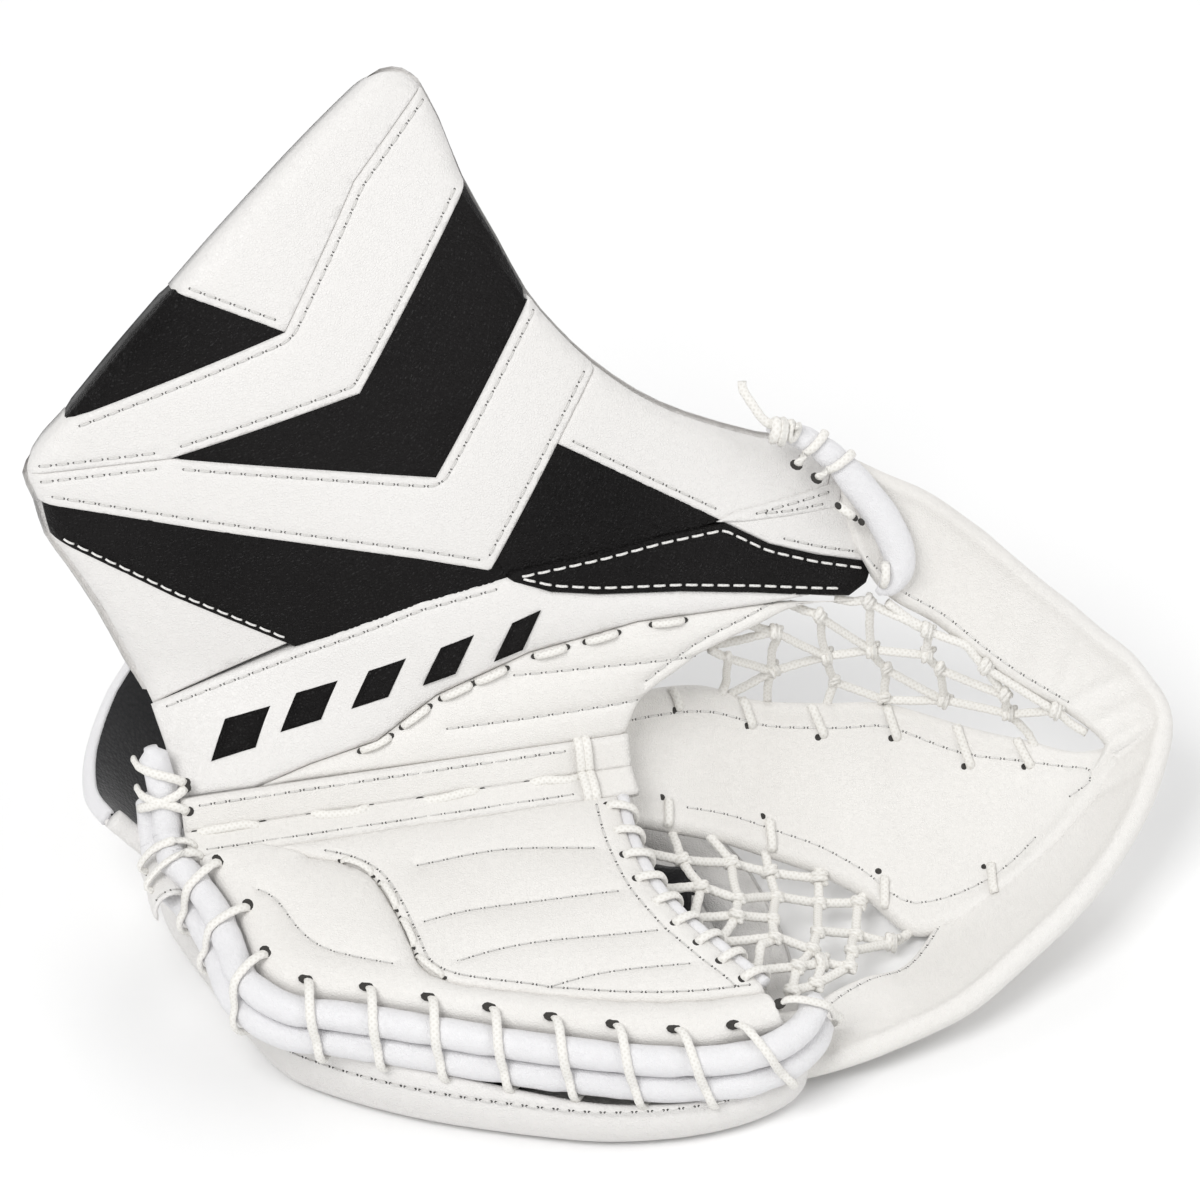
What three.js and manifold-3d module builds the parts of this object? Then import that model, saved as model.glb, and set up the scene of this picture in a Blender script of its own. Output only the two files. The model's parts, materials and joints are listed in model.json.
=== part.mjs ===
// Ice hockey goalie catch glove, lying open on its back shell. Millimetres, +Z up.
//
// The glove is two stiff halves that fold on one break line, which runs along +X from the heel to the
// apex of the T, HINGE_HEIGHT above the face that it rests on. The thumb half (with the cuff) stands
// up behind the break, and the finger half lies in front of it. Between them hangs the pocket: the T
// and two lace webs. The origin is on the resting face, right under the crotch of the palm.
import * as THREE from "three";
import { mergeVertices } from "three/addons/utils/BufferGeometryUtils.js";
import Module from "manifold-3d";

const wasm = await Module();
wasm.setup();

// ---- driving dimensions ----
const HINGE_HEIGHT = 72;
const THUMB_TILT = 68; // degrees from the floor to the face of the thumb half
const FINGER_TILT = 14.5; // degrees by which the finger half drops towards its front
const POCKET_TILT = (THUMB_TILT + FINGER_TILT) / 2; // the plane that the closed pocket is symmetric to
const CUFF_RADIUS = 300; // the cuff is rolled about the forearm
const CUFF_MIDDLE = [-130, 211]; // a point of the cuff's middle line, which runs along the forearm
const FOREARM_ANGLE = THREE.MathUtils.degToRad(-48.3); // from the break line, on the face of the thumb half
const FOREARM = [Math.cos(FOREARM_ANGLE), Math.sin(FOREARM_ANGLE)]; // from the elbow to the fingers
const HINGE_RADIUS = 11.5; // everything closer to the break line turns with the middle body
const PAD_START = HINGE_RADIUS + 0.8;
const LEATHER = 2;
const BOARD = 11.4; // foam board of the cuff
const GAP = 0.3;
const THUMB_PAD = 18;
const PALM_PAD = 20;
const ROLL_RADIUS = 5.3; // the rolled bindings
const ROLL_SIDES = 8;
const LACE_RADIUS = 1.6;
const T_THICKNESS = 7;
const SHELL_FLOOR = 10;
const CURVE_STEP = 23; // cell size of the curved leather layers

// ---- colours and finishes ----
const finish = (color, roughness) => new THREE.MeshStandardMaterial({ color, roughness, metalness: 0 });
const WHITE_LEATHER = finish(0xe6e4e1, 0.5);
const PALM_LEATHER = finish(0xe9e6df, 0.55);
const BLACK_LEATHER = finish(0x171516, 0.45);
const BINDING = finish(0xe8eaee, 0.45);
const LACE = finish(0xefece3, 0.7);
const LINING = finish(0x1b1b1d, 0.95);
const FOAM = finish(0xb9bcc0, 0.95);
const LOOP_TAPE = finish(0x222224, 1);

// ---- frames ----
const radians = THREE.MathUtils.degToRad;

// A plane through the break line: x runs along the break, t away from it and n out of the palm side.
function planeFrame(degrees) {
  const cos = Math.cos(radians(degrees));
  const sin = Math.sin(radians(degrees));
  return new THREE.Matrix4().makeBasis(
    new THREE.Vector3(1, 0, 0),
    new THREE.Vector3(0, cos, sin),
    new THREE.Vector3(0, -sin, cos),
  ).setPosition(0, 0, HINGE_HEIGHT);
}

const THUMB = planeFrame(THUMB_TILT);
const FINGER = planeFrame(FINGER_TILT); // its material is at negative t
const POCKET = planeFrame(POCKET_TILT);
const FLOOR = new THREE.Matrix4();

// The wrist: q runs across it towards the thumb, r out of its back, and w along it towards the elbow.
const WRIST_CENTRE = [-95, 94.7, -50.2]; // on the thumb half
const WRIST = new THREE.Matrix4().makeBasis(
  new THREE.Vector3(-FOREARM[1], FOREARM[0], 0),
  new THREE.Vector3(0, 0, -1),
  new THREE.Vector3(-FOREARM[0], -FOREARM[1], 0),
).setPosition(...WRIST_CENTRE).premultiply(THUMB);

const at = (frame, [x, t, n = 0]) => new THREE.Vector3(x, t, n).applyMatrix4(frame);
const towards = (frame, x, t, n) => new THREE.Vector3(x, t, n).transformDirection(frame);

// Evenly spaced numbers, both ends included.
const steps = (from, to, count) =>
  Array.from({ length: count + 1 }, (_, i) => from + ((to - from) * i) / count);

// ---- solids ----
function solid(geometry) {
  const bare = geometry.clone();
  bare.deleteAttribute("normal");
  bare.deleteAttribute("uv");
  const merged = mergeVertices(bare, 1e-3);
  const triVerts = new Uint32Array(merged.index.array);
  const make = () => new wasm.Manifold(
    new wasm.Mesh({ numProp: 3, vertProperties: merged.attributes.position.array, triVerts }),
  );
  const made = make();
  if (made.volume() > 0) return made;
  for (let i = 0; i < triVerts.length; i += 3) {
    const second = triVerts[i + 1];
    triVerts[i + 1] = triVerts[i + 2];
    triVerts[i + 2] = second;
  }
  return make();
}

const joined = (solids) => solids.reduce((sum, next) => sum.add(next));

// An outline drawn on a frame's plane, from one level to another along the plane's normal.
function prism(frame, outline, low, high) {
  const shape = new THREE.Shape(outline.map(([x, t]) => new THREE.Vector2(x, t)));
  const geometry = new THREE.ExtrudeGeometry(shape, { depth: high - low, bevelEnabled: false });
  geometry.translate(0, 0, low);
  return solid(geometry.applyMatrix4(frame));
}

// The closed solid between two grids of points with the same rows and columns.
function betweenGrids(front, back) {
  const rows = front.length;
  const columns = front[0].length;
  const positions = [...front.flat(), ...back.flat()].flatMap((p) => [p.x, p.y, p.z]);
  const last = columns - 1;
  const frontAt = (i, j) => i * columns + j;
  const backAt = (i, j) => rows * columns + i * columns + j;
  const index = [];
  const quad = (a, b, c, d) => index.push(a, b, c, a, c, d);
  for (let i = 0; i + 1 < rows; i++) {
    for (let j = 0; j + 1 < columns; j++) {
      quad(frontAt(i, j), frontAt(i + 1, j), frontAt(i + 1, j + 1), frontAt(i, j + 1));
      quad(backAt(i, j), backAt(i, j + 1), backAt(i + 1, j + 1), backAt(i + 1, j));
    }
    quad(frontAt(i, 0), backAt(i, 0), backAt(i + 1, 0), frontAt(i + 1, 0));
    quad(frontAt(i, last), frontAt(i + 1, last), backAt(i + 1, last), backAt(i, last));
  }
  for (let j = 0; j + 1 < columns; j++) {
    quad(frontAt(0, j), frontAt(0, j + 1), backAt(0, j + 1), backAt(0, j));
    quad(frontAt(rows - 1, j), backAt(rows - 1, j), backAt(rows - 1, j + 1), frontAt(rows - 1, j + 1));
  }
  const geometry = new THREE.BufferGeometry();
  geometry.setAttribute("position", new THREE.Float32BufferAttribute(positions, 3));
  geometry.setIndex(index);
  return solid(geometry);
}

// A curved sheet given by its front points, as thick as stated on the side away from facing.
function sheet(points, thickness, facing, start = 0) {
  const rows = points.length;
  const columns = points[0].length;
  const normalAt = (i, j) => {
    const along = points[Math.min(i + 1, rows - 1)][j].clone().sub(points[Math.max(i - 1, 0)][j]);
    const across = points[i][Math.min(j + 1, columns - 1)].clone().sub(points[i][Math.max(j - 1, 0)]);
    const normal = along.cross(across).normalize();
    return normal.dot(facing) < 0 ? normal.negate() : normal;
  };
  const shifted = (depth) => points.map((row, i) =>
    row.map((point, j) => point.clone().addScaledVector(normalAt(i, j), -depth)));
  return betweenGrids(shifted(start), shifted(start + thickness));
}

const curve = (points) => new THREE.CatmullRomCurve3(points, false, "centripetal");

// A round cord along a smooth curve through the points.
function cord(points, radius, stepsPerSpan = 3, sides = 6) {
  const ring = new THREE.EllipseCurve(0, 0, radius, radius).getPoints(sides).slice(0, sides);
  const settings = { steps: stepsPerSpan * (points.length - 1), extrudePath: curve(points), bevelEnabled: false };
  return solid(new THREE.ExtrudeGeometry(new THREE.Shape(ring), settings));
}

// An outline moved inwards by a distance, given anticlockwise or clockwise.
function inset(outline, distance) {
  const turn = Math.sign(THREE.ShapeUtils.area(outline.map(([x, y]) => new THREE.Vector2(x, y))));
  const count = outline.length;
  const side = (i) => {
    const [ax, ay] = outline[i];
    const [bx, by] = outline[(i + 1) % count];
    const length = Math.hypot(bx - ax, by - ay);
    return { x: (bx - ax) / length, y: (by - ay) / length };
  };
  return outline.map(([x, y], i) => {
    const before = side((i + count - 1) % count);
    const after = side(i);
    const spread = 1 + before.x * after.x + before.y * after.y;
    const reach = (turn * distance) / Math.max(spread, 0.2);
    return [x - reach * (before.y + after.y), y + reach * (before.x + after.x)];
  });
}

// Points of a path on a plane, moved to its right-hand side by a distance and set at a level.
function beside(path, distance, level) {
  return path.map(([x, y], i) => {
    const [ax, ay] = path[Math.max(i - 1, 0)];
    const [bx, by] = path[Math.min(i + 1, path.length - 1)];
    const length = Math.hypot(bx - ax, by - ay);
    return [x + ((by - ay) / length) * distance, y - ((bx - ax) / length) * distance, level];
  });
}

// ---- the group and its nodes ----
const glove = new THREE.Group();

function addNode(name, made, material) {
  const data = made.getMesh();
  const positions = new Float32Array(data.numVert * 3);
  for (let i = 0; i < data.numVert; i++) {
    positions.set(data.vertProperties.subarray(i * data.numProp, i * data.numProp + 3), i * 3);
  }
  const geometry = new THREE.BufferGeometry();
  geometry.setAttribute("position", new THREE.BufferAttribute(positions, 3));
  geometry.setIndex(new THREE.BufferAttribute(data.triVerts, 1));
  geometry.computeVertexNormals();
  const mesh = new THREE.Mesh(geometry, material);
  mesh.name = name;
  glove.add(mesh);
}

// ---- thumb half: the face, which is flat near the break and rolls about the forearm above it ----
function faceLevel(x, t) {
  const rise = Math.min(Math.max(t / 60, 0), 1);
  const blend = rise * rise * (3 - 2 * rise);
  const off = (x - CUFF_MIDDLE[0]) * -FOREARM[1] + (t - CUFF_MIDDLE[1]) * FOREARM[0];
  return (-off * off / (2 * CUFF_RADIUS)) * blend;
}

// A layer that follows the face between two depths below it.
function faceLayer(top, bottom) {
  const across = [-215, 135];
  const up = [8, 284];
  const columns = Math.ceil((across[1] - across[0]) / CURVE_STEP);
  const rows = Math.ceil((up[1] - up[0]) / CURVE_STEP);
  const grid = (depth) => Array.from({ length: rows + 1 }, (_, i) =>
    Array.from({ length: columns + 1 }, (__, j) => {
      const x = across[0] + (j * (across[1] - across[0])) / columns;
      const t = up[0] + (i * (up[1] - up[0])) / rows;
      return at(THUMB, [x, t, faceLevel(x, t) - depth]);
    }));
  return betweenGrids(grid(top), grid(bottom));
}

const SKIN = faceLayer(0, LEATHER);
const THROUGH = 120; // deeper than any layer of the thumb half

const onFace = (layer, outline, margin = GAP / 2) =>
  layer.intersect(prism(THUMB, inset(outline, margin), -THROUGH, THROUGH));

// Corners shared by neighbouring panels of the face.
const CUFF_TOP = [-55, 268];
const CUFF_TOP_RIGHT = [-40, 263];
const WEDGE_TOP = [-142, 201];
const WEDGE_TIP = [-103, 181];
const WEDGE_LOW = [-186, 157];
const CUFF_HEEL = [-201, 138];
const CHEVRON_SEAM = [-149, 139];
const CHEVRON_FOLD = [-71, 232];
const V_TOP = [-28, 226];
const V_OUTER = [-78, 155];
const V_INNER = [-53, 120];
const V_RIGHT = [-9, 182];
const CHEVRON_RIGHT = [13, 153];
const CHEVRON_FOOT = [-36, 82];
const CHEVRON_TOE = [-6, 126];
const LOWER_LEFT = [-198, 127];
const LOWER_END = [-195, 113];
const HEEL_SEAM = [-152, 85];
const HEEL_LOW = [-110, 61];
const BAND_HEEL = [-164, 44];
const BAND_RISE = [-63, 74];
const BAND_TOP = [-30, 79];
const BLACK_POINT = [55, 87];
const THUMB_SHOULDER = [74, 116];
const TIP_SHOULDER = [98, 92];
const WELT_END = [113, 62];
const BAND_END = [110, 50];
const SEAM_LEFT = [-158, PAD_START];
const SEAM_LINE = [[-132, PAD_START], [-110, 18], [-84, 23], [-60, 37], [-24, 49], [18, 55], [70, 54]];

const PANELS = {
  cuff_top_panel: [WHITE_LEATHER, [CUFF_TOP, [-92, 244], [-120, 222], WEDGE_TOP, WEDGE_TIP, CHEVRON_FOLD,
    CUFF_TOP_RIGHT]],
  cuff_wedge_inlay: [BLACK_LEATHER, [WEDGE_TOP, WEDGE_TIP, WEDGE_LOW]],
  cuff_outer_chevron: [WHITE_LEATHER, [CUFF_TOP_RIGHT, CHEVRON_FOLD, WEDGE_TIP, WEDGE_LOW, [-197, 147],
    CUFF_HEEL, CHEVRON_SEAM, V_OUTER, V_TOP]],
  cuff_black_chevron: [BLACK_LEATHER, [V_TOP, V_OUTER, CHEVRON_SEAM, V_INNER, V_RIGHT, [-18, 203]]],
  cuff_inner_chevron: [WHITE_LEATHER, [CUFF_HEEL, CHEVRON_SEAM, V_INNER, V_RIGHT, CHEVRON_RIGHT,
    CHEVRON_TOE, CHEVRON_FOOT, [-62, 90], [-141, 111], LOWER_LEFT]],
  cuff_lower_panel: [BLACK_LEATHER, [LOWER_LEFT, [-141, 111], [-62, 90], CHEVRON_FOOT, BAND_TOP, BAND_RISE,
    HEEL_LOW, HEEL_SEAM, LOWER_END]],
  cuff_heel_panel: [WHITE_LEATHER, [LOWER_END, HEEL_SEAM, HEEL_LOW, BAND_HEEL, [-179, 82]]],
  thumb_black_panel: [BLACK_LEATHER, [CHEVRON_FOOT, CHEVRON_TOE, [25, 106], BLACK_POINT, [10, 83.5],
    BAND_TOP]],
  thumb_white_panel: [WHITE_LEATHER, [CHEVRON_TOE, CHEVRON_RIGHT, [29, 139], [47, 128], THUMB_SHOULDER,
    [91, 111], [103, 104], TIP_SHOULDER, BLACK_POINT, [25, 106]]],
  thumb_tip_panel: [WHITE_LEATHER, [BLACK_POINT, TIP_SHOULDER, [103, 104], [115, 91], [119, 76], WELT_END,
    [90, 69], [72, 76]]],
  thumb_welt: [BLACK_LEATHER, [BAND_TOP, [10, 83.5], BLACK_POINT, [72, 76], [90, 69], WELT_END, BAND_END,
    [64, 58], [20, 66], [-14, 72]]],
};

for (const [name, [material, outline]] of Object.entries(PANELS)) {
  addNode(name, onFace(SKIN, outline), material);
}

const FACE_OUTLINE = [CUFF_TOP, [-92, 244], [-120, 222], WEDGE_TOP, WEDGE_LOW, [-197, 147], CUFF_HEEL,
  LOWER_LEFT, LOWER_END, [-179, 82], BAND_HEEL, HEEL_LOW, BAND_RISE, BAND_TOP, [-14, 72], [20, 66],
  [64, 58], BAND_END, WELT_END, [119, 76], [115, 91], [103, 104], [91, 111], THUMB_SHOULDER, [47, 128],
  [29, 139], CHEVRON_RIGHT, V_RIGHT, [-18, 203], V_TOP, CUFF_TOP_RIGHT];
const boardTop = LEATHER + GAP;
const boardBottom = boardTop + BOARD;
const BOARD_INSET = 2; // the panels turn down over the edge of the foam
addNode("cuff_foam_board", onFace(faceLayer(boardTop, boardBottom), FACE_OUTLINE, BOARD_INSET), FOAM);
addNode("cuff_back_cover",
  onFace(faceLayer(boardBottom + GAP, boardBottom + GAP + LEATHER), FACE_OUTLINE), WHITE_LEATHER);

// The band below the cuff and the padded palm of the thumb, each a cover round its own foam.
const BAND_OUTLINE = [BAND_HEEL, HEEL_LOW, BAND_RISE, BAND_TOP, [-14, 72], [20, 66], [64, 58], BAND_END,
  ...[...SEAM_LINE].reverse(), SEAM_LEFT];
addNode("cuff_palm_band", onFace(faceLayer(0, boardBottom), BAND_OUTLINE), WHITE_LEATHER);
const WEB_EDGE = [[108, 49], [82, 51], [63, 46], [44, 40], [32, 34], [17, 25], [9, PAD_START]];
addNode("thumb_palm_pad",
  onFace(faceLayer(0, THUMB_PAD), [...SEAM_LINE, ...WEB_EDGE]), PALM_LEATHER);

// The rolled binding over the tip of the thumb, and the lace that whips it.
const LACE_CLEARANCE = 0.6;
const WHIP_SWAY = 2;
const THUMB_TIP = [[66, 125], [84, 119], [98, 112], [111, 102], [122, 88], [127, 72], [126, 54]];
const BINDING_DEPTH = -12;
addNode("thumb_end_binding",
  cord(THUMB_TIP.map(([x, t]) => at(THUMB, [x, t, BINDING_DEPTH])), ROLL_RADIUS, 3, ROLL_SIDES), BINDING);
const whip = beside(THUMB_TIP, -(ROLL_RADIUS + LACE_RADIUS + LACE_CLEARANCE), BINDING_DEPTH);
const swaying = whip.map(([x, t, n], i) => at(THUMB, [x, t, n + (i % 2 ? WHIP_SWAY : -WHIP_SWAY)]));
addNode("thumb_end_lace", cord(swaying, LACE_RADIUS, 4), LACE);

// The end of the rolled binding that runs up the heel edge of the thumb half.
const HEEL_BINDING = [[-164.6, 18.5, -6], [-166.3, 25, -6], [-168.6, 34, -6]];
addNode("heel_binding",
  cord(HEEL_BINDING.map((p) => at(THUMB, p)), ROLL_RADIUS, 3, ROLL_SIDES), BINDING);

// The stall for the thumb: a padded arch on the back of the thumb half, open at the wrist end.
const STALL_AXIS = [[-26, 80], [80, 86]]; // on the face, from the wrist end to the tip
const STALL_RADII = [23, 16];
const STALL_CLEARANCE = 0.8;
const stallBase = (x, t) => faceLevel(x, t) - boardBottom - GAP - LEATHER - STALL_CLEARANCE;
function thumbStall(inner) {
  return steps(0, 1, 4).map((k) => {
    const x = THREE.MathUtils.lerp(STALL_AXIS[0][0], STALL_AXIS[1][0], k);
    const t = THREE.MathUtils.lerp(STALL_AXIS[0][1], STALL_AXIS[1][1], k);
    const radius = THREE.MathUtils.lerp(...STALL_RADII, k) - inner;
    return steps(0, Math.PI, 8).map((angle) => {
      const side = t + radius * Math.cos(angle);
      return at(THUMB, [x, side, stallBase(x, side) - radius * Math.sin(angle)]);
    });
  });
}
addNode("thumb_stall", betweenGrids(thumbStall(0), thumbStall(3)), LINING);

// ---- middle body: what hangs between the halves ----
const STRIP_THICKNESS = 3;
const STRIP_ENDS = [-157, -2];
const STRIP_LEG = HINGE_RADIUS - 0.5;
const foldDepth = STRIP_THICKNESS / Math.cos(radians(THUMB_TILT - POCKET_TILT));
const thumbLeg = at(THUMB, [0, STRIP_LEG]);
const fingerLeg = at(FINGER, [0, -STRIP_LEG]);
const thumbInner = at(THUMB, [0, STRIP_LEG, -STRIP_THICKNESS]);
const fingerInner = at(FINGER, [0, -STRIP_LEG, -STRIP_THICKNESS]);
const fold = at(POCKET, [0, 0, 0]);
const foldInner = at(POCKET, [0, 0, -foldDepth]);
const SIDE = new THREE.Matrix4().makeBasis(
  new THREE.Vector3(0, 1, 0),
  new THREE.Vector3(0, 0, 1),
  new THREE.Vector3(1, 0, 0),
);
const stripSection = [thumbLeg, fold, fingerLeg, fingerInner, foldInner, thumbInner].map((p) => [p.y, p.z]);
addNode("break_strip", prism(SIDE, stripSection, ...STRIP_ENDS), PALM_LEATHER);
const LACE_MARGIN = 2;
const LACE_HEIGHT = 2.4; // of its middle over the fold
const breakHoles = steps(STRIP_ENDS[0] + LACE_MARGIN, STRIP_ENDS[1] - LACE_MARGIN, 8);
const breakRun = breakHoles.map((x, i) => at(POCKET, [x, i % 2 ? 0.8 : -0.8, LACE_HEIGHT]));
addNode("break_lace", cord(breakRun, LACE_RADIUS), LACE);

// Edges of the T, on the pocket's frame: x along the break, t to the thumb side, n out of the palm.
const SHAFT_THUMB_EDGE = [[14, 31, -13], [46, 31, -20], [70, 23, -27], [95, 19, -30], [119, 15, -30],
  [152, 0, -28], [170, -8, -24], [186, -16, -19]];
const SHAFT_MIDDLE = [[12, 4, -14], [47, 2, -26], [68, -6, -32], [90, -14, -35], [112, -24, -35],
  [138, -36, -31], [162, -32, -24], [188, -24, -16]];
const SHAFT_FINGER_EDGE = [[6, -18, -11], [44, -28, -22], [61, -35, -27], [83, -46, -29], [97, -58, -27],
  [113, -76, -18], [150, -63, -13], [190, -34, -9]];
const UPPER_ARM_OUTER = [[135, 83, 31], [142, 78, 29], [150, 73, 27], [165, 61, 22], [184, 43, 14],
  [198, 28, 9], [207, 19, 6]];
const UPPER_ARM_INNER = [[140, 39, 10], [144, 33, 8], [150, 26, 5], [160, 19, 3], [173, 15, 2],
  [186, 14, 1], [197, 13.5, 1]];
const LOWER_ARM_OUTER = [[61, -127, 34], [86, -120, 32], [112, -111, 30], [137, -96, 26], [162, -80, 21],
  [182, -64, 15], [201, -43, 9], [213, -24, 5], [217, -13, 3]];
const LOWER_ARM_INNER = [[56, -103, 25], [66, -98, 18], [80, -94, 10], [100, -91, -3], [117, -82, -12],
  [142, -71, -10], [170, -55, -7], [193, -37, -5], [206, -14, -1]];

// Rows of points from one edge to the other, on parabolas through the middle points or a sag.
function between(first, last, count, middleAt) {
  return first.map((a, i) => {
    const start = at(POCKET, a);
    const end = at(POCKET, last[i]);
    const middle = middleAt(start, end, i);
    return Array.from({ length: count + 1 }, (_, j) => {
      const v = j / count;
      const bow = 4 * v * (1 - v);
      const straight = start.clone().lerp(end, v);
      const lift = middle.clone().sub(start.clone().lerp(end, 0.5));
      return straight.addScaledVector(lift, bow);
    });
  });
}

const PALMWARD = towards(POCKET, 0, 0, 1);
const ARM_SAG = 3;
const sagging = (start, end) => start.clone().lerp(end, 0.5).addScaledVector(PALMWARD, -ARM_SAG);
const shaftRows = between(SHAFT_THUMB_EDGE, SHAFT_FINGER_EDGE, 4, (_, __, i) => at(POCKET, SHAFT_MIDDLE[i]));
addNode("t_shaft", sheet(shaftRows, T_THICKNESS, PALMWARD), PALM_LEATHER);
addNode("t_upper_arm", sheet(between(UPPER_ARM_INNER, UPPER_ARM_OUTER, 3, sagging), T_THICKNESS, PALMWARD),
  PALM_LEATHER);
addNode("t_lower_arm", sheet(between(LOWER_ARM_INNER, LOWER_ARM_OUTER, 3, sagging), T_THICKNESS, PALMWARD),
  PALM_LEATHER);

// The apex of the T: a folded end that lies on the break line itself.
const APEX = [174, 222];
const APEX_LENGTH = APEX[1] - APEX[0];
const apexProfile = [[0, 0], [6, 1], [9, 8], [HINGE_RADIUS - 2, 26], [8.5, 40], [5, 47], [0, APEX_LENGTH]];
const apexShape = new THREE.LatheGeometry(apexProfile.map(([r, y]) => new THREE.Vector2(r, y)), 12);
const apexPlace = new THREE.Matrix4().makeRotationZ(-Math.PI / 2).setPosition(APEX[0], 0, HINGE_HEIGHT);
addNode("t_apex", solid(apexShape.applyMatrix4(apexPlace)), PALM_LEATHER);

// ---- the webs: laces crossed between two edges ----
function web(first, last, columns, bow) {
  const near = curve(first.map((p) => at(POCKET, p)));
  const far = curve(last.map((p) => at(POCKET, p)));
  const knotAt = (i, v) => {
    const u = i / columns;
    return near.getPoint(u).lerp(far.getPoint(u), v).addScaledVector(PALMWARD, -bow * Math.sin(Math.PI * v));
  };
  const cords = [];
  const lace = (...points) => cords.push(cord(points, LACE_RADIUS, 2, 5));
  const along = (v, from, to) => lace(...steps(from, to, 4).map((i) => knotAt(i, v)));
  for (let i = 1; i < columns; i++) {
    lace(knotAt(i, 0), knotAt(i, 0.5), knotAt(i, 1));
  }
  for (let i = 0; i < columns; i++) {
    lace(knotAt(i, i % 2 ? 1 : 0.04), knotAt(i + 0.5, 0.5), knotAt(i + 1, i % 2 ? 0.04 : 1));
  }
  along(0.5, 0.2, columns - 0.2);
  along(0.02, 0, columns);
  along(0.98, 0, columns);
  return joined(cords);
}

const THUMB_WEB_NEAR = [[22, 19, -6], [47, 31, 0], [66, 37, 4], [84, 41, 7], [106, 41, 9], [122, 38, 7],
  [142, 22, 1], [157, 11, -4]];
const THUMB_WEB_FAR = [[30, 36, -13], [46, 37, -16], [70, 29, -23], [95, 25, -26], [119, 21, -26],
  [140, 11, -25], [155, 3, -23], [165, 0, -19]];
addNode("thumb_web", web(THUMB_WEB_NEAR, THUMB_WEB_FAR, 6, 2), LACE);
const FINGER_WEB_NEAR = [[14, -25, -11], [12, -40, -4], [19, -58, 3], [28, -70, 11], [37, -80, 17],
  [46, -90, 22]];
const FINGER_WEB_FAR = [[40, -32, -19], [61, -41, -23], [82, -52, -24], [96, -64, -22], [106, -77, -15],
  [96, -84, -5], [78, -88, 8], [62, -93, 15]];
addNode("finger_web", web(FINGER_WEB_NEAR, FINGER_WEB_FAR, 5, 3), LACE);

// ---- finger half: the palm ----
const PALM_SEAM = [[-117, -20], [-104, -26], [-96, -34], [-92, -47], [-89, -64], [-87, -77], [-76, -87],
  [-48, -97], [-19, -106], [7, -111], [33, -112]];
const PALM_EDGE = [[29, -101], [20, -87], [11, -72], [4, -54], [1, -30], [2, -PAD_START]];
const PERIMETER = [[-160, -6], [-153, -20], [-148, -36], [-146, -52], [-144, -66], [-134, -78], [-118, -84],
  [-98, -92], [-77, -101], [-55, -110], [-33, -118], [-12, -125], [10, -129], [42, -125]];
const FOOT = -PAD_START;

addNode("finger_palm_pad",
  prism(FINGER, inset([...PALM_SEAM, ...PALM_EDGE, [-134, FOOT]], GAP / 2), -PALM_PAD, 0), PALM_LEATHER);
const HEEL_OUTER = PERIMETER.filter(([, t]) => t < FOOT);
addNode("finger_heel_roll",
  prism(FINGER, inset([[-134, FOOT], ...PALM_SEAM, [36, -112], ...[...HEEL_OUTER].reverse(), [-157, FOOT]],
    GAP / 2), -PALM_PAD, 2), PALM_LEATHER);
addNode("palm_lining",
  prism(FINGER, [[-150, -24], [-146, -64], [-118, -80], [-33, -112], [30, -108], [-4, -50], [-2, -20]],
    -PALM_PAD - GAP - LEATHER, -PALM_PAD - GAP), LINING);

// Two rolled bindings round the perimeter, and the lace that whips them.
const onFinger = (points) => points.map((p) => at(FINGER, p));
const UPPER_ROLL = { out: 7.5, level: -4 };
const LOWER_ROLL = { out: 10.5, level: -15.4 };
addNode("perimeter_binding_upper",
  cord(onFinger(beside(PERIMETER, UPPER_ROLL.out, UPPER_ROLL.level)), ROLL_RADIUS, 3, ROLL_SIDES), BINDING);
addNode("perimeter_binding_lower",
  cord(onFinger(beside(PERIMETER, LOWER_ROLL.out, LOWER_ROLL.level)), ROLL_RADIUS, 3, ROLL_SIDES), BINDING);

// A lace that goes up and down beside a path, without the path's first point.
function whipping(path, high, low) {
  const top = beside(path, high.out, high.level);
  const bottom = beside(path, low.out, low.level);
  return cord(onFinger(top.slice(1).flatMap((point, i) => [point, bottom[i + 1]])), LACE_RADIUS);
}

addNode("perimeter_lace", whipping(PERIMETER, { out: 15.4, level: -2 }, { out: 19, level: -18 }), LACE);
addNode("pocket_edge_lace",
  whipping([...PALM_EDGE].reverse(), { out: -3.2, level: -2 }, { out: -3.2, level: -12 }), LACE);

// ---- finger half: the back ----
const SHELL_OUTLINE = [[-164, 62], [-164, 30], [-160, 8], [-153, -20], [-146, -46], [-138, -66], [-125, -80],
  [-107, -94], [-86, -107], [-55, -122], [-31, -131], [-5, -135], [16, -134], [33, -129], [45, -120],
  [52, -96], [58, -60], [60, -20], [54, 24], [30, 56], [-20, 74], [-90, 78], [-150, 74]];
const WALL = 7;
const HEEL_WALL = 18; // height of the wall under the wrist strap
const SHELL_CLEARANCE = 3; // from the wall up to the underside of the palm
const ABOVE = HINGE_HEIGHT + 1;
const OPEN_BACK = [[-150, 36], [-150, 120], [120, 120], [120, -100], [30, -100], [-20, -60]];
const STRAP_SIDE = [[-200, 0], [-100, 0], [-100, 120], [-200, 120]];
const shellWall = prism(FLOOR, SHELL_OUTLINE, SHELL_FLOOR - 1, HINGE_HEIGHT)
  .subtract(prism(FLOOR, inset(SHELL_OUTLINE, WALL), 0, ABOVE))
  .subtract(prism(FLOOR, OPEN_BACK, 0, ABOVE))
  .subtract(prism(FLOOR, STRAP_SIDE, HEEL_WALL, ABOVE));
const FAR = 400;
const EVERYWHERE = [[-FAR, -FAR], [FAR, -FAR], [FAR, FAR], [-FAR, FAR]];
const underPalm = prism(FINGER, EVERYWHERE, -FAR, -PALM_PAD - SHELL_CLEARANCE);
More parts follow.
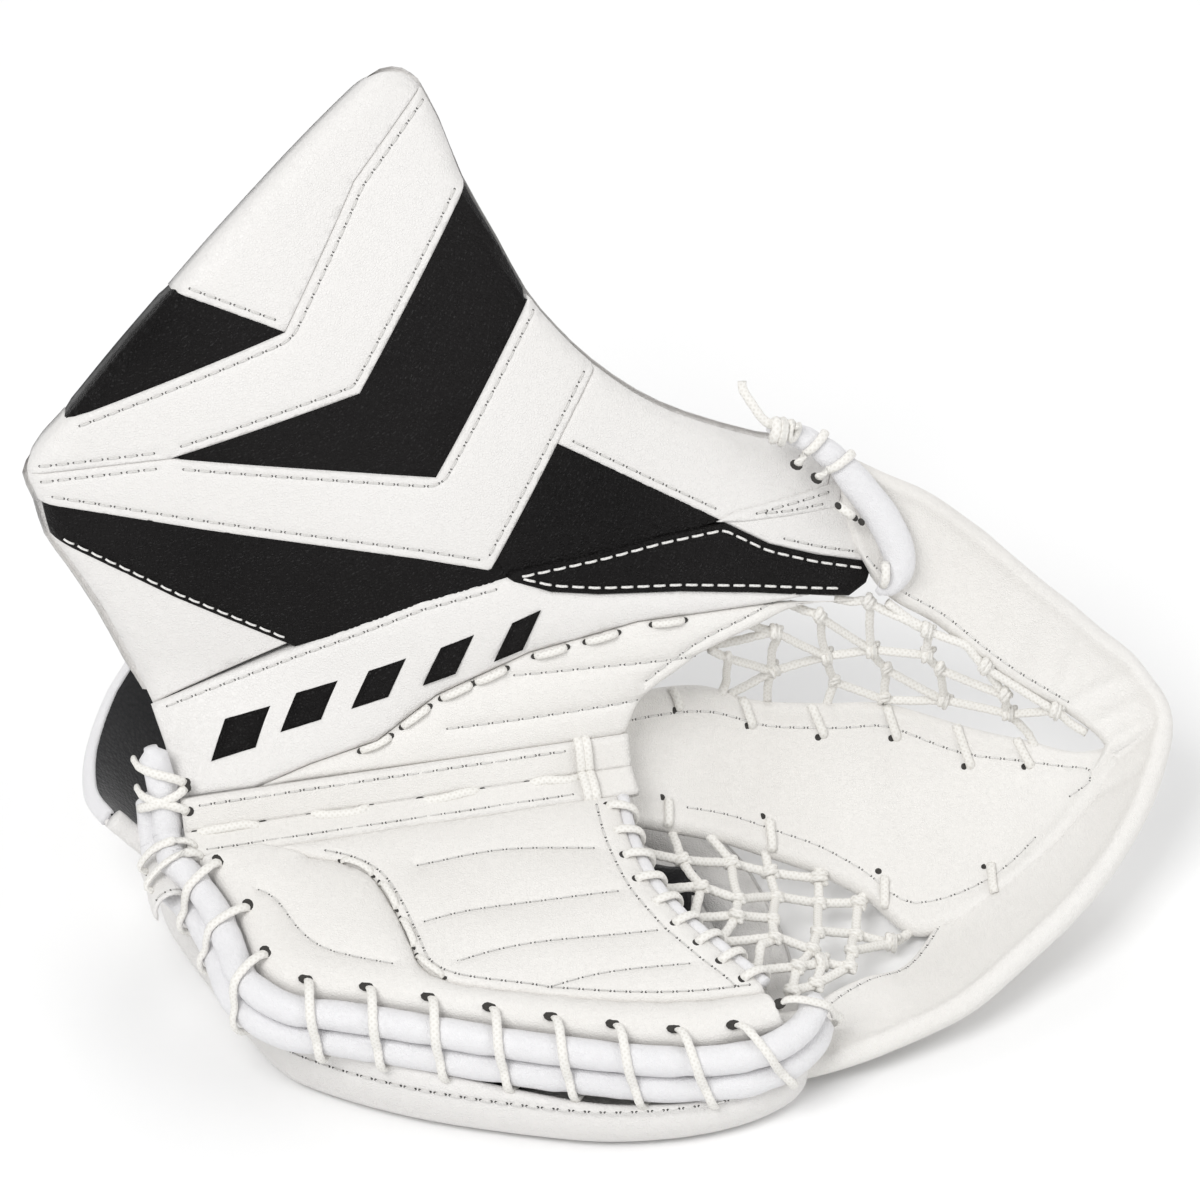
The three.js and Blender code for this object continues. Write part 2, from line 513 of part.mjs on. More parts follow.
addNode("back_shell", prism(FLOOR, SHELL_OUTLINE, 0, SHELL_FLOOR).add(shellWall).intersect(underPalm),
  WHITE_LEATHER);

// Four loops on the floor of the shell hold the fingers. They point to the front and the thumb side.
const FINGERWARD = new THREE.Vector2(0.92, -0.39);
// The middle of each loop on the floor, and how high it stands.
const STALLS = {
  index_finger_stall: [16, -10, 20],
  middle_finger_stall: [7, -33, 18],
  ring_finger_stall: [-3, -56, 15],
  little_finger_stall: [-13, -79, 11],
};
const STALL_WALL = 2;
const STALL_HALF_WIDTH = 10.5;
const STALL_HALF_LENGTH = 16;
for (const [name, [x, y, height]] of Object.entries(STALLS)) {
  const arch = (shrink) => [-1, 1].map((end) =>
    steps(0, Math.PI, 8).map((angle) => {
      const side = Math.cos(angle) * (STALL_HALF_WIDTH - shrink);
      const along = end * STALL_HALF_LENGTH;
      return new THREE.Vector3(
        x + FINGERWARD.x * along - FINGERWARD.y * side,
        y + FINGERWARD.y * along + FINGERWARD.x * side,
        SHELL_FLOOR + GAP + Math.sin(angle) * (height - shrink),
      );
    }));
  addNode(name, betweenGrids(arch(0), arch(STALL_WALL)), LINING);
}

// The pad behind the back of the hand, curved round it.
const onWrist = (points) => points.map((p) => at(WRIST, p));
const BACKWARD = towards(WRIST, 0, -1, 0);
const backhandLevel = (q) => 34 - (q * q) / 300;
const BACKHAND_PAD = 9;
const backhandRows = (qs, ws) => ws.map((w) => onWrist(qs.map((q) => [q, backhandLevel(q), w])));
addNode("backhand_pad", sheet(backhandRows(steps(-66, 48, 6), steps(-98, -10, 4)), BACKHAND_PAD, BACKWARD),
  WHITE_LEATHER);
addNode("backhand_lining",
  sheet(backhandRows(steps(-62, 44, 6), steps(-94, -14, 3)), LEATHER, BACKWARD, -LEATHER - GAP), LINING);
const TAPE = 1;
const TAPE_EDGES = [-40, -14]; // along the wrist
addNode("strap_loop_tape",
  sheet(backhandRows(steps(-4, 44, 3), TAPE_EDGES), TAPE, BACKWARD, BACKHAND_PAD + GAP), LOOP_TAPE);

// ---- wrist strap, hinged at the heel ----
// The inside of the strap across the wrist, and how far its elbow edge reaches along the wrist.
const STRAP_PATH = [[-125, -27, -8], [-124, -8, -2], [-114, 13, 3], [-94, 32, 7], [-60, 44, 9],
  [-20, 47.4, 9], [12, 46.8, 9], [46, 40.6, 9]];
const STRAP_HAND_EDGE = -44;
const STRAP_LEATHER = 3.5;
const INSIDE_STRAP = [-40, -10, -18];

// A layer of the strap over the given rows, from one height to another outside them.
function strapLayer(rows, start, thickness) {
  const centre = at(WRIST, INSIDE_STRAP);
  const columns = rows[0].length;
  const outwards = (i, j) => {
    const along = rows[Math.min(i + 1, rows.length - 1)][j].clone().sub(rows[Math.max(i - 1, 0)][j]);
    const across = rows[i][Math.min(j + 1, columns - 1)].clone().sub(rows[i][Math.max(j - 1, 0)]);
    const normal = along.cross(across).normalize();
    return normal.dot(rows[i][j].clone().sub(centre)) < 0 ? normal.negate() : normal;
  };
  const shifted = (depth) => rows.map((row, i) =>
    row.map((point, j) => point.clone().addScaledVector(outwards(i, j), depth)));
  return betweenGrids(shifted(start), shifted(start + thickness));
}

const strapRows = STRAP_PATH.map(([q, r, elbowEdge]) =>
  onWrist(steps(STRAP_HAND_EDGE, elbowEdge, 3).map((w) => [q, r, w])));
addNode("wrist_strap_lining", strapLayer(strapRows, 0, LEATHER), LINING);
addNode("wrist_strap", strapLayer(strapRows, LEATHER + GAP, STRAP_LEATHER), WHITE_LEATHER);
const [[bendQ, bendR], [endQ, endR]] = STRAP_PATH.slice(-2);
const underStrap = (q) => [q, THREE.MathUtils.mapLinear(q, bendQ, endQ, bendR, endR)];
const hookRows = [14, 42].map((q) => onWrist(TAPE_EDGES.map((w) => [...underStrap(q), w])));
addNode("strap_hook_tape", strapLayer(hookRows, -TAPE - GAP, TAPE), LOOP_TAPE);

// The roll that the strap turns on, and the tab with its lace that ties it to the heel.
const STRAP_PIVOT = [-126, -34];
const PIVOT_RADIUS = 4;
const pivotEnds = steps(STRAP_HAND_EDGE, STRAP_PATH[0][2], 2).map((w) => at(WRIST, [...STRAP_PIVOT, w]));
addNode("strap_pivot_roll", cord(pivotEnds, PIVOT_RADIUS, 1, ROLL_SIDES), WHITE_LEATHER);
const TAB_SIDES = [-176.6, -174.6];
const TAB_SECTION = [[8, 70], [8, 52], [-16, 48], [-16, 66]];
addNode("heel_tab", prism(SIDE, TAB_SECTION, ...TAB_SIDES), WHITE_LEATHER);
const HEEL_LACE = [[-179, 4, 74], [-179, -2, 50], [-179, -8, 72], [-179, -14, 46]];
addNode("heel_lace", cord(HEEL_LACE.map((p) => new THREE.Vector3(...p)), LACE_RADIUS, 5), LACE);

export default glove;
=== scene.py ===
import json
import math
import bpy
import numpy as np
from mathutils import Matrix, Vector
from mathutils.geometry import delaunay_2d_cdt


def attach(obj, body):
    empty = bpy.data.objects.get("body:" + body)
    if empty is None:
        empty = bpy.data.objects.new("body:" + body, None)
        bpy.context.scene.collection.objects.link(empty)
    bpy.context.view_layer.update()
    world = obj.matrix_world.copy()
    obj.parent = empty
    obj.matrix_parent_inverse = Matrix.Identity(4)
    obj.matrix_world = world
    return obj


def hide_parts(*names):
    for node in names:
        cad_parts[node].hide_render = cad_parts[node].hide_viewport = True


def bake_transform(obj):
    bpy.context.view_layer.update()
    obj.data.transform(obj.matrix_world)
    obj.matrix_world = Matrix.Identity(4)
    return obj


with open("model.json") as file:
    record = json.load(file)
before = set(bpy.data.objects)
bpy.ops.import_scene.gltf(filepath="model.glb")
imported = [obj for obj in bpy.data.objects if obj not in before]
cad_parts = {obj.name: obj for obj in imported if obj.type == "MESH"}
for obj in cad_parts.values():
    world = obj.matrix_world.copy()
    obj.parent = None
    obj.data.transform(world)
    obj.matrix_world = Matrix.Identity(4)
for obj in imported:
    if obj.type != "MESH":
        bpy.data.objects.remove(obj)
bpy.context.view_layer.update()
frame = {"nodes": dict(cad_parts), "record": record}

# Looks of a goalie catch glove round its CAD frame. Lengths in this script are millimetres until
# a mesh is made, and every mesh is in metres in the frame of the CAD model.
MM = 0.001

# ---- camera, lights and floor ----
AZIMUTH = math.radians(-14)
ELEVATION = math.radians(35)
DISTANCE = 2.0
AIM = Vector((0.0070, 0.0359, 0.1242))  # the point in the middle of the picture
BACK = Vector((math.sin(AZIMUTH) * math.cos(ELEVATION), -math.cos(AZIMUTH) * math.cos(ELEVATION),
               math.sin(ELEVATION)))


def look_from(thing, place, target):
    thing.location = place
    thing.rotation_euler = (target - place).to_track_quat("-Z", "Y").to_euler()
    bpy.context.scene.collection.objects.link(thing)


camera_data = bpy.data.cameras.new("camera")
camera_data.lens = 160
camera_data.sensor_width = 36
camera = bpy.data.objects.new("camera", camera_data)
look_from(camera, AIM + BACK * DISTANCE, AIM)
bpy.context.scene.camera = camera


def softbox(name, place, size, power):
    data = bpy.data.lights.new(name, "AREA")
    data.size = size
    data.energy = power
    look_from(bpy.data.objects.new(name, data), Vector(place), Vector((0, 0, 0.1)))


softbox("key", (-1.2, -1.2, 2.1), 1.2, 39)
softbox("fill", (1.7, -0.9, 1.3), 1.8, 12)
softbox("rim", (0.4, 1.8, 1.5), 1.4, 12)

world = bpy.data.worlds.new("studio")
world.use_nodes = True
world.node_tree.nodes["Background"].inputs["Color"].default_value = (1, 1, 1, 1)
world.node_tree.nodes["Background"].inputs["Strength"].default_value = 0.56
bpy.context.scene.world = world
bpy.context.scene.view_settings.view_transform = "Standard"


# ---- materials ----
class Nodes:
    """Short words for the node tree of one new material."""

    def __init__(self, name):
        self.material = bpy.data.materials.new(name)
        self.material.use_nodes = True
        self.tree = self.material.node_tree
        self.shader = self.tree.nodes["Principled BSDF"]

    def add(self, kind, inputs=None, **settings):
        node = self.tree.nodes.new(kind)
        for key, value in settings.items():
            setattr(node, key, value)
        for key, value in (inputs or {}).items():
            if isinstance(value, bpy.types.NodeSocket):
                self.tree.links.new(value, node.inputs[key])
            else:
                node.inputs[key].default_value = value
        return node

    def noise(self, scale, detail=3.0, where=None):
        place = where or self.add("ShaderNodeTexCoord").outputs["Object"]
        node = self.add("ShaderNodeTexNoise", {"Vector": place, "Scale": scale, "Detail": detail})
        return node.outputs["Fac"]

    def maths(self, operation, first, second):
        return self.add("ShaderNodeMath", {0: first, 1: second}, operation=operation).outputs[0]

    def spread(self, value, low, high, start=0.3, end=0.7):
        """The values start to end, which a noise mostly has, stretched to low and high."""
        node = self.add("ShaderNodeMapRange", {"Value": value, "From Min": start, "From Max": end,
                                               "To Min": low, "To Max": high})
        return node.outputs["Result"]

    def mix(self, factor, first, second):
        node = self.add("ShaderNodeMix", {"Factor": factor}, data_type="RGBA")
        for socket, value in ((6, first), (7, second)):
            if isinstance(value, bpy.types.NodeSocket):
                self.tree.links.new(value, node.inputs[socket])
            else:
                node.inputs[socket].default_value = (*value, 1)
        return node.outputs[2]

    def bump(self, height, distance, strength=1.0, below=None):
        inputs = {"Height": height, "Distance": distance, "Strength": strength}
        if below is not None:
            inputs["Normal"] = below
        return self.add("ShaderNodeBump", inputs).outputs["Normal"]

    def finish(self, color, roughness, normal):
        for name, value in (("Base Color", color), ("Roughness", roughness), ("Normal", normal)):
            self.tree.links.new(value, self.shader.inputs[name])
        return self.material


def leather(name, light, dark, roughness, grain=0.00016, cell=850, creases=0.0007, gloss=0.4):
    """Grained leather: round pores, fine wrinkles, and broad soft creases where it has been handled."""
    n = Nodes(name)
    place = n.add("ShaderNodeTexCoord").outputs["Object"]
    drift = n.add("ShaderNodeTexNoise", {"Vector": place, "Scale": cell * 0.5, "Detail": 2.0})
    wobble = n.add("ShaderNodeVectorMath", {0: drift.outputs["Color"], "Scale": 0.0012}, operation="SCALE")
    bent = n.add("ShaderNodeVectorMath", {0: place, 1: wobble.outputs[0]}, operation="ADD").outputs[0]
    pores = n.add("ShaderNodeTexVoronoi", {"Vector": bent, "Scale": cell}, feature="DISTANCE_TO_EDGE")
    pebble = n.spread(pores.outputs["Distance"], 0.0, 1.0, start=0.0, end=0.28)
    fine = n.noise(cell * 3.2, 2.0, place)
    soft = n.noise(34.0, 3.0, place)
    worn = n.noise(9.0, 2.0, place)
    color = n.mix(n.spread(worn, 0.0, 1.0), dark, light)
    color = n.mix(n.spread(pebble, 0.22, 0.0), color, dark)
    low = n.bump(soft, creases, 0.5)
    middle = n.bump(pebble, grain, 0.8, low)
    normal = n.bump(fine, grain * 0.5, 0.5, middle)
    n.shader.inputs["Specular IOR Level"].default_value = gloss
    return n.finish(color, n.spread(n.noise(55.0, 2.0, place), roughness - 0.06, roughness + 0.07), normal)


def woven(name, light, dark, across, depth):
    """A braided lace or thread: two sets of strands that cross, laid out along its own UV."""
    n = Nodes(name)
    place = n.add("ShaderNodeUVMap").outputs["UV"]
    waves = []
    for turn in (-1, 1):
        mapping = n.add("ShaderNodeMapping", {"Vector": place, "Scale": (1.0, across * turn, 1.0)})
        wave = n.add("ShaderNodeTexWave", {"Vector": mapping.outputs[0], "Scale": 0.5},
                     wave_type="BANDS", bands_direction="DIAGONAL", wave_profile="SIN")
        waves.append(wave.outputs["Fac"])
    braid = n.maths("MAXIMUM", *waves)
    color = n.mix(n.spread(braid, 0.0, 1.0), dark, light)
    normal = n.bump(n.noise(2600.0), depth * 0.4, 0.5, n.bump(braid, depth, 0.7))
    return n.finish(color, n.spread(n.noise(200.0), 0.55, 0.75), normal)


def knit(name, light, dark, scale=700.0, fuzz=0.3):
    """A brushed knit or tape: close short loops that catch little light."""
    n = Nodes(name)
    place = n.add("ShaderNodeTexCoord").outputs["Object"]
    loops = n.add("ShaderNodeTexVoronoi", {"Vector": place, "Scale": scale}).outputs["Distance"]
    fibre = n.noise(scale * 3, 4.0, place)
    color = n.mix(loops, light, dark)
    normal = n.bump(fibre, 0.0002, 0.7, n.bump(loops, 0.0003, 0.8))
    n.shader.inputs["Sheen Weight"].default_value = fuzz
    return n.finish(color, n.spread(fibre, 0.85, 1.0), normal)


WHITE = leather("white_leather", (0.79, 0.775, 0.76), (0.755, 0.74, 0.722), 0.42)
PALM = leather("palm_leather", (0.83, 0.815, 0.79), (0.79, 0.77, 0.74), 0.46, cell=1000, creases=0.0010)
BLACK = leather("black_leather", (0.0125, 0.0115, 0.0115), (0.0060, 0.0055, 0.0055), 0.38, grain=0.0004,
                cell=700, creases=0.0012, gloss=0.10)
ROLLED = leather("binding", (0.835, 0.83, 0.84), (0.79, 0.785, 0.80), 0.42, cell=1200, creases=0.0016)
LACE = woven("lace", (0.82, 0.805, 0.77), (0.745, 0.725, 0.68), 3.0, 0.00018)
THREAD = woven("white_thread", (0.80, 0.79, 0.77), (0.6, 0.59, 0.57), 2.0, 0.0001)
GREY_THREAD = woven("grey_thread", (0.68, 0.67, 0.65), (0.55, 0.54, 0.52), 2.0, 0.0001)
LINING = knit("lining", (0.020, 0.020, 0.022), (0.008, 0.008, 0.009))
TAPE = knit("hook_and_loop", (0.035, 0.035, 0.037), (0.012, 0.012, 0.013), 420.0, 0.5)
FOAM = knit("foam", (0.48, 0.5, 0.52), (0.36, 0.38, 0.4), 260.0, 0.1)
# painted shade: one near-black colour for the shaded inside of every needle hole and lace hole
HOLE_SHADE = knit("hole_shade", (0.05, 0.047, 0.043), (0.03, 0.028, 0.026), 900.0, 0.0)


def floor_material():
    n = Nodes("floor")
    color = n.mix(n.spread(n.noise(1.5), 0.0, 1.0), (0.9, 0.9, 0.9), (0.93, 0.93, 0.93))
    return n.finish(color, n.spread(n.noise(30.0), 0.75, 0.85), n.bump(n.noise(400.0), 0.0002, 0.2))


FLOOR_HALF = 6.0
floor_corners = [(x * FLOOR_HALF, y * FLOOR_HALF, 0) for x, y in ((-1, -1), (1, -1), (1, 1), (-1, 1))]
floor_mesh = bpy.data.meshes.new("floor")
floor_mesh.from_pydata(floor_corners, [], [(0, 1, 2, 3)])
floor_mesh.materials.append(floor_material())
floor = bpy.data.objects.new("floor", floor_mesh)
bpy.context.scene.collection.objects.link(floor)

# ---- frames, the same as the CAD model's ----
HINGE_HEIGHT = frame["record"]["behaviour"]["joints"][0]["pos_m"][2] / MM
THUMB_TILT = 68
FINGER_TILT = 14.5
POCKET_TILT = (THUMB_TILT + FINGER_TILT) / 2
CUFF_RADIUS = 300
CUFF_MIDDLE = (-130, 211)
FOREARM_ANGLE = math.radians(-48.3)
FOREARM = (math.cos(FOREARM_ANGLE), math.sin(FOREARM_ANGLE))
WRIST_CENTRE = (-95, 94.7, -50.2)
ALONG_X = np.array([1.0, 0, 0])


def stack(*parts):
    """Numbers or arrays side by side, as the last axis of one array."""
    return np.stack(np.broadcast_arrays(*(np.asarray(part, float) for part in parts)), -1)


def plane(degrees):
    """A plane through the break line: x along the break, t away from it and n out of the palm side."""
    cos, sin = math.cos(math.radians(degrees)), math.sin(math.radians(degrees))
    basis = np.array([[1, 0, 0], [0, cos, sin], [0, -sin, cos]])
    return lambda x, t, n=0.0: stack(x, t, n) @ basis + np.array([0, 0, HINGE_HEIGHT])


THUMB = plane(THUMB_TILT)
FINGER = plane(FINGER_TILT)
POCKET = plane(POCKET_TILT)
THUMB_OUT, FINGER_OUT, POCKET_OUT = (place(0, 0, 1) - place(0, 0, 0) for place in (THUMB, FINGER, POCKET))


def WRIST(q, r, w):
    """q across the wrist towards the thumb, r out of its back and w along it towards the elbow."""
    x = WRIST_CENTRE[0] - FOREARM[1] * np.asarray(q, float) - FOREARM[0] * np.asarray(w, float)
    t = WRIST_CENTRE[1] + FOREARM[0] * np.asarray(q, float) - FOREARM[1] * np.asarray(w, float)
    return THUMB(x, t, WRIST_CENTRE[2] - np.asarray(r, float))


def face_level(x, t):
    rise = np.clip(t / 60, 0, 1)
    blend = rise * rise * (3 - 2 * rise)
    off = (x - CUFF_MIDDLE[0]) * -FOREARM[1] + (t - CUFF_MIDDLE[1]) * FOREARM[0]
    return (-off * off / (2 * CUFF_RADIUS)) * blend


def face(x, t, n=0.0):
    """The curved face of the cuff and thumb, which flattens towards the break."""
    return THUMB(x, t, face_level(x, t) + n)


def bend(first, second, start, end):
    """The two bodies a part runs between, and two places given as (t, n) on the pocket's plane, returned in
    metres.
    """
    return (first, second, tuple(POCKET(0, *start) * MM), tuple(POCKET(0, *end) * MM))


POCKET_TO_THUMB = bend("pocket", "thumb_half", (8, 0), (34, 0))
FINGER_TO_POCKET = bend("finger_half", "pocket", (-38, 0), (-10, 0))
BREAK_TO_THUMB = bend("pocket", "thumb_half", (0.5, 0), (9, 0))
FINGER_TO_BREAK = bend("finger_half", "pocket", (-9, 0), (-0.5, 0))


# ---- flat geometry ----
def unit(vectors):
    v = np.asarray(vectors, float)
    return v / np.maximum(np.linalg.norm(v, axis=-1, keepdims=True), 1e-12)


def spline(points, per_span=8):
    """A smooth curve through the points, in any number of dimensions."""
    p = np.asarray(points, float)
    p = np.vstack([2 * p[0] - p[1], p, 2 * p[-1] - p[-2]])
    out = []
    for a, b, c, d in zip(p, p[1:], p[2:], p[3:]):
        for k in np.arange(per_span) / per_span:
            out.append(0.5 * (2 * b + (c - a) * k + (2 * a - 5 * b + 4 * c - d) * k * k
                              + (3 * b - a - 3 * c + d) * k ** 3))
    return np.array(out + [p[-2]])


def interpolated(rows, at, where):
    """Each column of the rows, known at some places, worked out at others."""
    return np.stack([np.interp(where, at, rows[:, k]) for k in range(rows.shape[1])], -1)


def measured(line):
    """The length along a line up to each of its points."""
    return np.r_[0, np.cumsum(np.linalg.norm(np.diff(line[:, :3], axis=0), axis=1))]


def sample(line, where):
    return interpolated(line, measured(line), where)


def resample(path, pitch):
    """Points at equal steps along a path."""
    p = np.asarray(path, float)
    length = measured(p)[-1]
    return sample(p, np.linspace(0, length, max(2, int(round(length / pitch))) + 1))


def divided(outline, pitch):
    """The outline with its corners kept and its sides cut into steps no longer than pitch."""
    points = []
    corners = np.asarray(outline, float)
    for a, b in zip(corners, np.roll(corners, -1, axis=0)):
        count = max(1, math.ceil(np.linalg.norm(b - a) / pitch))
        points.extend(a + (b - a) * k / count for k in range(count))
    return np.array(points)


def distance_to(points, path, closed=False):
    """Distance from each point to the nearest place on a path."""
    p = np.asarray(path, float)
    a = p if closed else p[:-1]
    b = np.roll(p, -1, axis=0) if closed else p[1:]
    best = np.full(len(points), np.inf)
    for start, end in zip(a, b):
        along = end - start
        k = np.clip(((points - start) @ along) / max(along @ along, 1e-9), 0, 1)
        best = np.minimum(best, np.linalg.norm(points - start - k[:, None] * along, axis=1))
    return best


def nearest(points, paths):
    return np.minimum.reduce([distance_to(points, path) for path in paths])


def inside(points, outline):
    x, y = points[:, 0], points[:, 1]
    result = np.zeros(len(points), bool)
    for (ax, ay), (bx, by) in zip(outline, np.roll(outline, -1, axis=0)):
        crosses = ((ay > y) != (by > y)) & (x < (bx - ax) * (y - ay) / (by - ay + 1e-12) + ax)
        result ^= crosses
    return result


def right_of(path):
    """The direction to the right-hand side of a flat path at each of its points."""
    along = unit(np.gradient(np.asarray(path, float), axis=0))
    return np.stack([along[:, 1], -along[:, 0]], -1)


def outward(outline):
    """The direction out of a closed outline at each of its points."""
    p = np.asarray(outline, float)
    along = unit(np.roll(p, -1, axis=0) - np.roll(p, 1, axis=0))
    area = np.sum(p[:, 0] * np.roll(p[:, 1], -1) - p[:, 1] * np.roll(p[:, 0], -1))
    return math.copysign(1, area) * np.stack([along[:, 1], -along[:, 0]], -1)


def shifted(path, distance):
    """The path moved to its right-hand side."""
    return np.asarray(path, float) + distance * right_of(path)


def inset(outline, distance):
    """A closed outline moved inwards."""
    moved = outline - distance * outward(outline)
    return moved[distance_to(moved, outline, True) > 0.85 * distance]


def mirrored(outline):
    return np.asarray(outline, float) * (-1, 1)


def thinned(points, gap):
    """The points without those that share a square of side gap with an earlier one."""
    seen = {}
    for i, cell in enumerate(map(tuple, np.floor(points / gap).astype(int))):
        seen.setdefault(cell, i)
    return points[sorted(seen.values())]


def row(points, gap=0.0):
    """A stitch row beside a path, a gap to its right, without its first and last millimetres."""
    line = resample(points, 1.5)
    smooth = np.array([line[max(i - 2, 0):i + 3].mean(0) for i in range(len(line))])
    return shifted(smooth, gap)[3:-3]


def beside(path, out, surface):
    """Places beside a flat path: how far along it, how far out of it, and their level on a surface."""
    def place(where, distance, level):
        k = np.clip(where, 0, len(path) - 1)
        x, t = (np.interp(k, np.arange(len(path)), path[:, c] + out[:, c] * distance) for c in (0, 1))
        return surface(x, t, level)
    return place


# ---- meshes ----
def normals_of(points, triangles):
    a, b, c = (points[triangles[:, k]] for k in range(3))
    each = np.cross(b - a, c - a)
    total = np.zeros_like(points)
    for k in range(3):
        np.add.at(total, triangles[:, k], each)
    return unit(total)


PRESSURE = 110.0  # of the filling in a pad
FILLING_STEPS = 14
MOST_SWELL = 1.8  # millimetres that a pad may move as it fills


def filled(piece, free):
    """Swells a pad with a cloth simulation: free says how loose each point is, and the seams hold."""
    scene = bpy.context.scene
    count = len(piece.data.vertices)
    held = piece.vertex_groups.new(name="held")
    for i, loose in enumerate(free):
        held.add([i], 1 - float(loose), "REPLACE")
    cloth = piece.modifiers.new("filling", "CLOTH")
    cloth.settings.vertex_group_mass = "held"
    cloth.settings.use_pressure = True
    cloth.settings.uniform_pressure_force = PRESSURE
    cloth.settings.effector_weights.gravity = 0
    cloth.settings.mass = 0.05
    cloth.settings.tension_stiffness = cloth.settings.compression_stiffness = 3
    cloth.settings.shear_stiffness = 1
    cloth.settings.bending_stiffness = 0.05
    for step in range(1, FILLING_STEPS + 1):
        scene.frame_set(step)
    before, after = np.empty(count * 3), np.empty(count * 3)
    piece.data.vertices.foreach_get("co", before)
    swollen = piece.evaluated_get(bpy.context.evaluated_depsgraph_get())
    swollen.data.vertices.foreach_get("co", after)
    move = (after - before).reshape(-1, 3)
    far = np.linalg.norm(move, axis=1, keepdims=True)
    most = MOST_SWELL * MM
    move *= most * np.tanh(far / most) / np.maximum(far, 1e-9) * np.reshape(free, (-1, 1))
    piece.modifiers.remove(cloth)
    piece.vertex_groups.remove(held)
    piece.data.vertices.foreach_set("co", (before.reshape(-1, 3) + move).ravel())
    piece.data.update()
    scene.frame_set(1)


def make(name, points, faces, material, body, uv=None, padded=None, also=(), bends=None, free=None):
    """A smooth mesh object in metres, riding on a body, or left in place unattached when bends is given.

    It stands for the CAD node of its own name, if there is one, and for the nodes in also.
    """
    mesh = bpy.data.meshes.new(name)
    mesh.from_pydata((np.asarray(points) * MM).tolist(), [], [tuple(map(int, f)) for f in faces])
    mesh.validate()
    if uv is not None:
        layer = mesh.uv_layers.new(name="UVMap")
        order = np.empty(len(mesh.loops), dtype=np.int32)
        mesh.loops.foreach_get("vertex_index", order)
        layer.data.foreach_set("uv", np.asarray(uv)[order].astype(np.float32).ravel())
    mesh.shade_smooth()
    mesh.materials.append(material)
    piece = bpy.data.objects.new(name, mesh)
    bpy.context.scene.collection.objects.link(piece)
    if free is not None:
        filled(piece, free)
    if bends:
        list(bends)
        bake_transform(piece)
    else:
        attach(piece, body)
    replaced = [node for node in (name, *also) if node in frame["nodes"]]
    if replaced:
        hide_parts(*replaced)


def rounding(distance, radius):
    """How far a rounded edge has dropped at a distance inside it."""
    k = 1 - np.clip(distance / radius, 0, 1)
    return radius * (1 - np.sqrt(1 - k * k))


# A relief says how far leather stands over its surface, given x, t and the distance to its edge.
def even(level):
    return lambda x, t, edge: level + 0 * x


def crowned(level, rise, width):
    """A relief that rises from its edge within about a width."""
    return lambda x, t, edge: level + rise * (1 - np.exp(-edge / width))


def quilted(level, rise, width, lines, depth, reach, wave=0.0):
    """A crowned relief that is drawn down along lines."""
    def relief(x, t, edge):
        drawn = depth * np.exp(-nearest(stack(x, t), lines) / reach)
        return crowned(level, rise, width)(x, t, edge) - drawn + wave * np.sin(x / 9 + t / 6)
    return relief


RIM_STEP = 2.4  # between the points of an outline
SEAM_WIDTH = 0.9
SEAM_PULL = 0.42  # how deep a stitch line pulls the leather in
THINNEST = 0.15
THREAD_LIFT = 0.16  # how far above the leather a thread starts


def drape(name, outline, surface, relief, thickness, material, body, soft=1.2, cell=4.5, seams=(),
          under=None, hem=None, swells=False, **more):
    """A closed solid of leather cut to an outline and laid on a surface.

    relief lifts its top, and under lifts its foot. seams are the stitch lines that pull it in, and
    near them the mesh is fine. A hem is a path and a depth: along the path the leather turns down by
    that depth. A pad that swells is filled between its seams. The result is the height over the
    surface at which a thread lies on the leather.
    """
    rim = divided(outline, RIM_STEP)
    low, high = rim.min(0), rim.max(0)
    xs, ts = np.meshgrid(np.arange(low[0], high[0], cell), np.arange(low[1], high[1], cell * 0.87))
    xs = xs + (np.arange(len(xs)) % 2)[:, None] * cell / 2
    groups = [inset(rim, depth) for depth in (soft * 0.22, soft * 0.6, soft * 1.05)]
    for path in seams:
        line = resample(path, 1.9)
        groups.extend(shifted(line, side) for side in (0, -0.9, 0.9, -2.1, 2.1))
    inner = np.vstack([*groups, stack(xs.ravel(), ts.ravel())])
    inner = inner[inside(inner, rim)]
    inner = thinned(inner[distance_to(inner, rim, True) > 0.2], 0.75)
    count = len(rim)
    sides = [(i, (i + 1) % count) for i in range(count)]
    made = delaunay_2d_cdt([Vector(p) for p in np.vstack([rim, inner])], sides, [], 1, 1e-4)
    flat = np.array([tuple(v) for v in made[0]])
    triangles = np.array(made[2])
    base = surface(flat[:, 0], flat[:, 1])
    normals = normals_of(base, triangles)
    edge = distance_to(flat, rim, True)

    def height(x, t):
        places = stack(x, t)
        inwards = distance_to(places, rim, True)
        pull = np.zeros(len(places))
        for path in seams:
            near = np.exp(-(distance_to(places, path) / SEAM_WIDTH) ** 2)
            pull = np.maximum(pull, SEAM_PULL * near)
        return relief(x, t, inwards) - rounding(inwards, soft) - pull

    rise = height(flat[:, 0], flat[:, 1])
    foot = -thickness + (rounding(edge, soft) if under is None else under(flat[:, 0], flat[:, 1], edge))
    foot = np.minimum(foot, rise - THINNEST)
    if hem is not None:
        path, depth = hem
        foot -= depth * np.exp(-(distance_to(flat, path) / SEAM_WIDTH) ** 4)
    points = np.vstack([base + normals * rise[:, None], base + normals * foot[:, None]])
    total = len(flat)
    faces = [tuple(t) for t in triangles] + [(c + total, b + total, a + total) for a, b, c in triangles]
    directed = {(a, b) for t in triangles.tolist() for a, b in zip(t, t[1:] + t[:1])}
    faces += [(b, a, a + total, b + total) for a, b in directed if (b, a) not in directed]
    if swells:
        loose = np.clip((nearest(flat, seams) - 1.2) / 5, 0, 1) * np.clip((edge - 1.5) / 5, 0, 1)
        more["free"] = np.r_[loose, 0 * loose]
    make(name, points, faces, material, body, **more)
    return lambda x, t: height(x, t) + THREAD_LIFT


